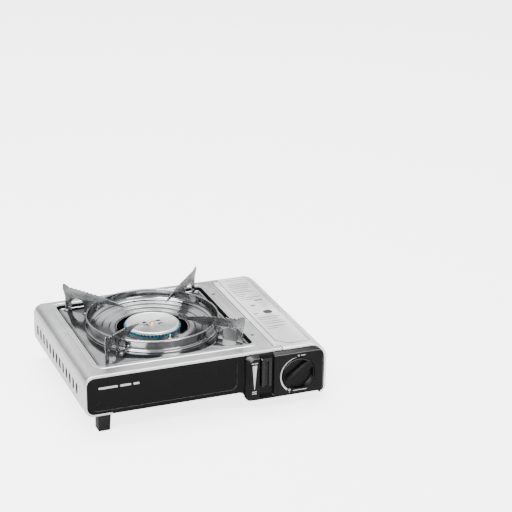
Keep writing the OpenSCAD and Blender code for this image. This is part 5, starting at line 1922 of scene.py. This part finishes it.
    def _rivets(self, centre: Point, flanges: Sequence[int]) -> None:
        """Builds the rivets that hold the supports' feet.

        Args:
            centre: X and Y of the burner's axis.
            flanges: Side that each support's feet are bent to.
        """
        low, high = box_mm("support_rivets")
        tool = rivet("support_rivet_tool", 2.5, high.z - low.z, 0.8)
        reach = 137.0
        places = []
        for angle, side in zip((-135, -45, 45, 135), flanges):
            a = math.radians(angle)
            for r in (reach - 2 * self.leg_w - self.arch_w, reach - self.leg_w):
                out, off = r + self.leg_w / 2, side * 4.5
                places.append((centre[0] + out * math.cos(a) - off * math.sin(a),
                               centre[1] + out * math.sin(a) + off * math.cos(a), high.z))
        piece = self.shop.repeater.on_points("support_foot_rivets", tool, places,
                                             self.shop.materials["zinc_steel"])
        self.shop.add(piece, "zinc_steel", Body.PAN, stands_for=["support_rivets"])


# ---------------------------------------------------------------- stage


def make_camera() -> None:
    """Places the camera at the front left, a little above the stove."""
    azimuth, elevation, roll = map(math.radians, (-22.177, 21.512, 1.016))
    back = Vector((math.sin(azimuth) * math.cos(elevation),
                   -math.cos(azimuth) * math.cos(elevation), math.sin(elevation)))
    flat_right = Vector((math.cos(azimuth), math.sin(azimuth), 0.0))
    flat_up = back.cross(flat_right)
    right = flat_right * math.cos(roll) + flat_up * math.sin(roll)
    up = back.cross(right)
    data = bpy.data.cameras.new("camera")
    data.sensor_width = 36.0
    data.lens = 115.912
    camera = bpy.data.objects.new("camera", data)
    turn = Matrix((right, up, back)).transposed().to_4x4()
    camera.matrix_world = Matrix.Translation(Vector((-0.68945, -1.97264, 1.00795))) @ turn
    bpy.context.collection.objects.link(camera)
    bpy.context.scene.camera = camera


def area_light(name: str, place: tuple, target: tuple, size: tuple[float, float], power: float) -> None:
    """Adds a rectangular softbox.

    Args:
        name: Name of the light.
        place: Where it hangs, in metres.
        target: The point it faces.
        size: Width and height in metres.
        power: Power in watts.
    """
    data = bpy.data.lights.new(name, "AREA")
    data.shape = "RECTANGLE"
    data.size, data.size_y = size
    data.energy = power
    obj = bpy.data.objects.new(name, data)
    obj.location = place
    obj.rotation_euler = (Vector(target) - Vector(place)).to_track_quat("-Z", "Y").to_euler()
    bpy.context.collection.objects.link(obj)


def make_world() -> None:
    """Builds the studio surround: bright overhead, grey walls with two dark flags."""
    world = bpy.data.worlds.new("studio")
    bpy.context.scene.world = world
    world.use_nodes = True
    tree = world.node_tree
    link = tree.links.new
    coords = tree.nodes.new("ShaderNodeTexCoord")
    split = tree.nodes.new("ShaderNodeSeparateXYZ")
    height = tree.nodes.new("ShaderNodeValToRGB")
    ramp = height.color_ramp
    ramp.elements[0].position, ramp.elements[0].color = 0.47, (0.80, 0.80, 0.80, 1)
    ramp.elements[1].position, ramp.elements[1].color = 1.0, (1.05, 1.05, 1.05, 1)
    for place, level in ((0.53, 0.62), (0.58, 0.16), (0.66, 0.20), (0.74, 0.75), (0.82, 1.0), (0.90, 0.55)):
        stop = ramp.elements.new(place)
        stop.color = (level, level, level, 1)
    half = tree.nodes.new("ShaderNodeMath")
    half.operation = "MULTIPLY_ADD"
    half.inputs[1].default_value = 0.5
    half.inputs[2].default_value = 0.5
    link(coords.outputs["Generated"], split.inputs["Vector"])
    link(split.outputs["Z"], half.inputs[0])
    link(half.outputs["Value"], height.inputs["Fac"])
    link(height.outputs["Color"], tree.nodes["Background"].inputs["Color"])
    tree.nodes["Background"].inputs["Strength"].default_value = 2.3


def make_floor() -> None:
    """Makes the pale floor that the stove stands on."""
    mesh = bpy.data.meshes.new("floor")
    reach = 6.0
    mesh.from_pydata([(-reach, -reach, 0), (reach, -reach, 0), (reach, reach, 0), (-reach, reach, 0)],
                     [], [(0, 1, 2, 3)])
    floor = bpy.data.objects.new("floor", mesh)
    bpy.context.collection.objects.link(floor)
    material = bpy.data.materials.new("floor_paper")
    material.use_nodes = True
    nodes, link = material.node_tree.nodes, material.node_tree.links.new
    shader = nodes["Principled BSDF"]
    shader.inputs["Base Color"].default_value = (0.60, 0.60, 0.60, 1)
    shader.inputs["Roughness"].default_value = 0.9
    shader.inputs["Specular IOR Level"].default_value = 0.05
    shader.inputs["Emission Color"].default_value = (1, 1, 1, 1)
    path = nodes.new("ShaderNodeLightPath")
    glow = nodes.new("ShaderNodeMath")
    glow.operation = "MULTIPLY"
    glow.inputs[1].default_value = 3.2
    link(path.outputs["Is Camera Ray"], glow.inputs[0])
    link(glow.outputs["Value"], shader.inputs["Emission Strength"])
    mesh.materials.append(material)


def make_stage() -> None:
    """Builds the camera, the lights, the surround and the floor."""
    make_camera()
    make_world()
    make_floor()
    area_light("key", (-1.3, -1.0, 1.9), (0.0, 0.0, 0.05), (1.4, 1.0), 90.0)
    area_light("top", (0.1, 0.5, 2.2), (0.0, 0.0, 0.05), (1.8, 1.2), 100.0)
    area_light("front", (0.6, -2.4, 0.7), (0.0, 0.0, 0.05), (1.2, 0.6), 30.0)


def main() -> None:
    """Builds the stove's looks around its frame."""
    logging.basicConfig(level=logging.INFO, format="%(message)s")
    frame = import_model()
    make_stage()
    shop = Workshop(frame)
    shop.dress_nodes()
    for assembly in (SteelCase(shop), Lid(shop), ControlBlock(shop), BlackPanels(shop), Burner(shop),
                     PanRest(shop)):
        log.info("building %s", type(assembly).__name__)
        assembly.build()


if __name__ == "__main__":
    main()
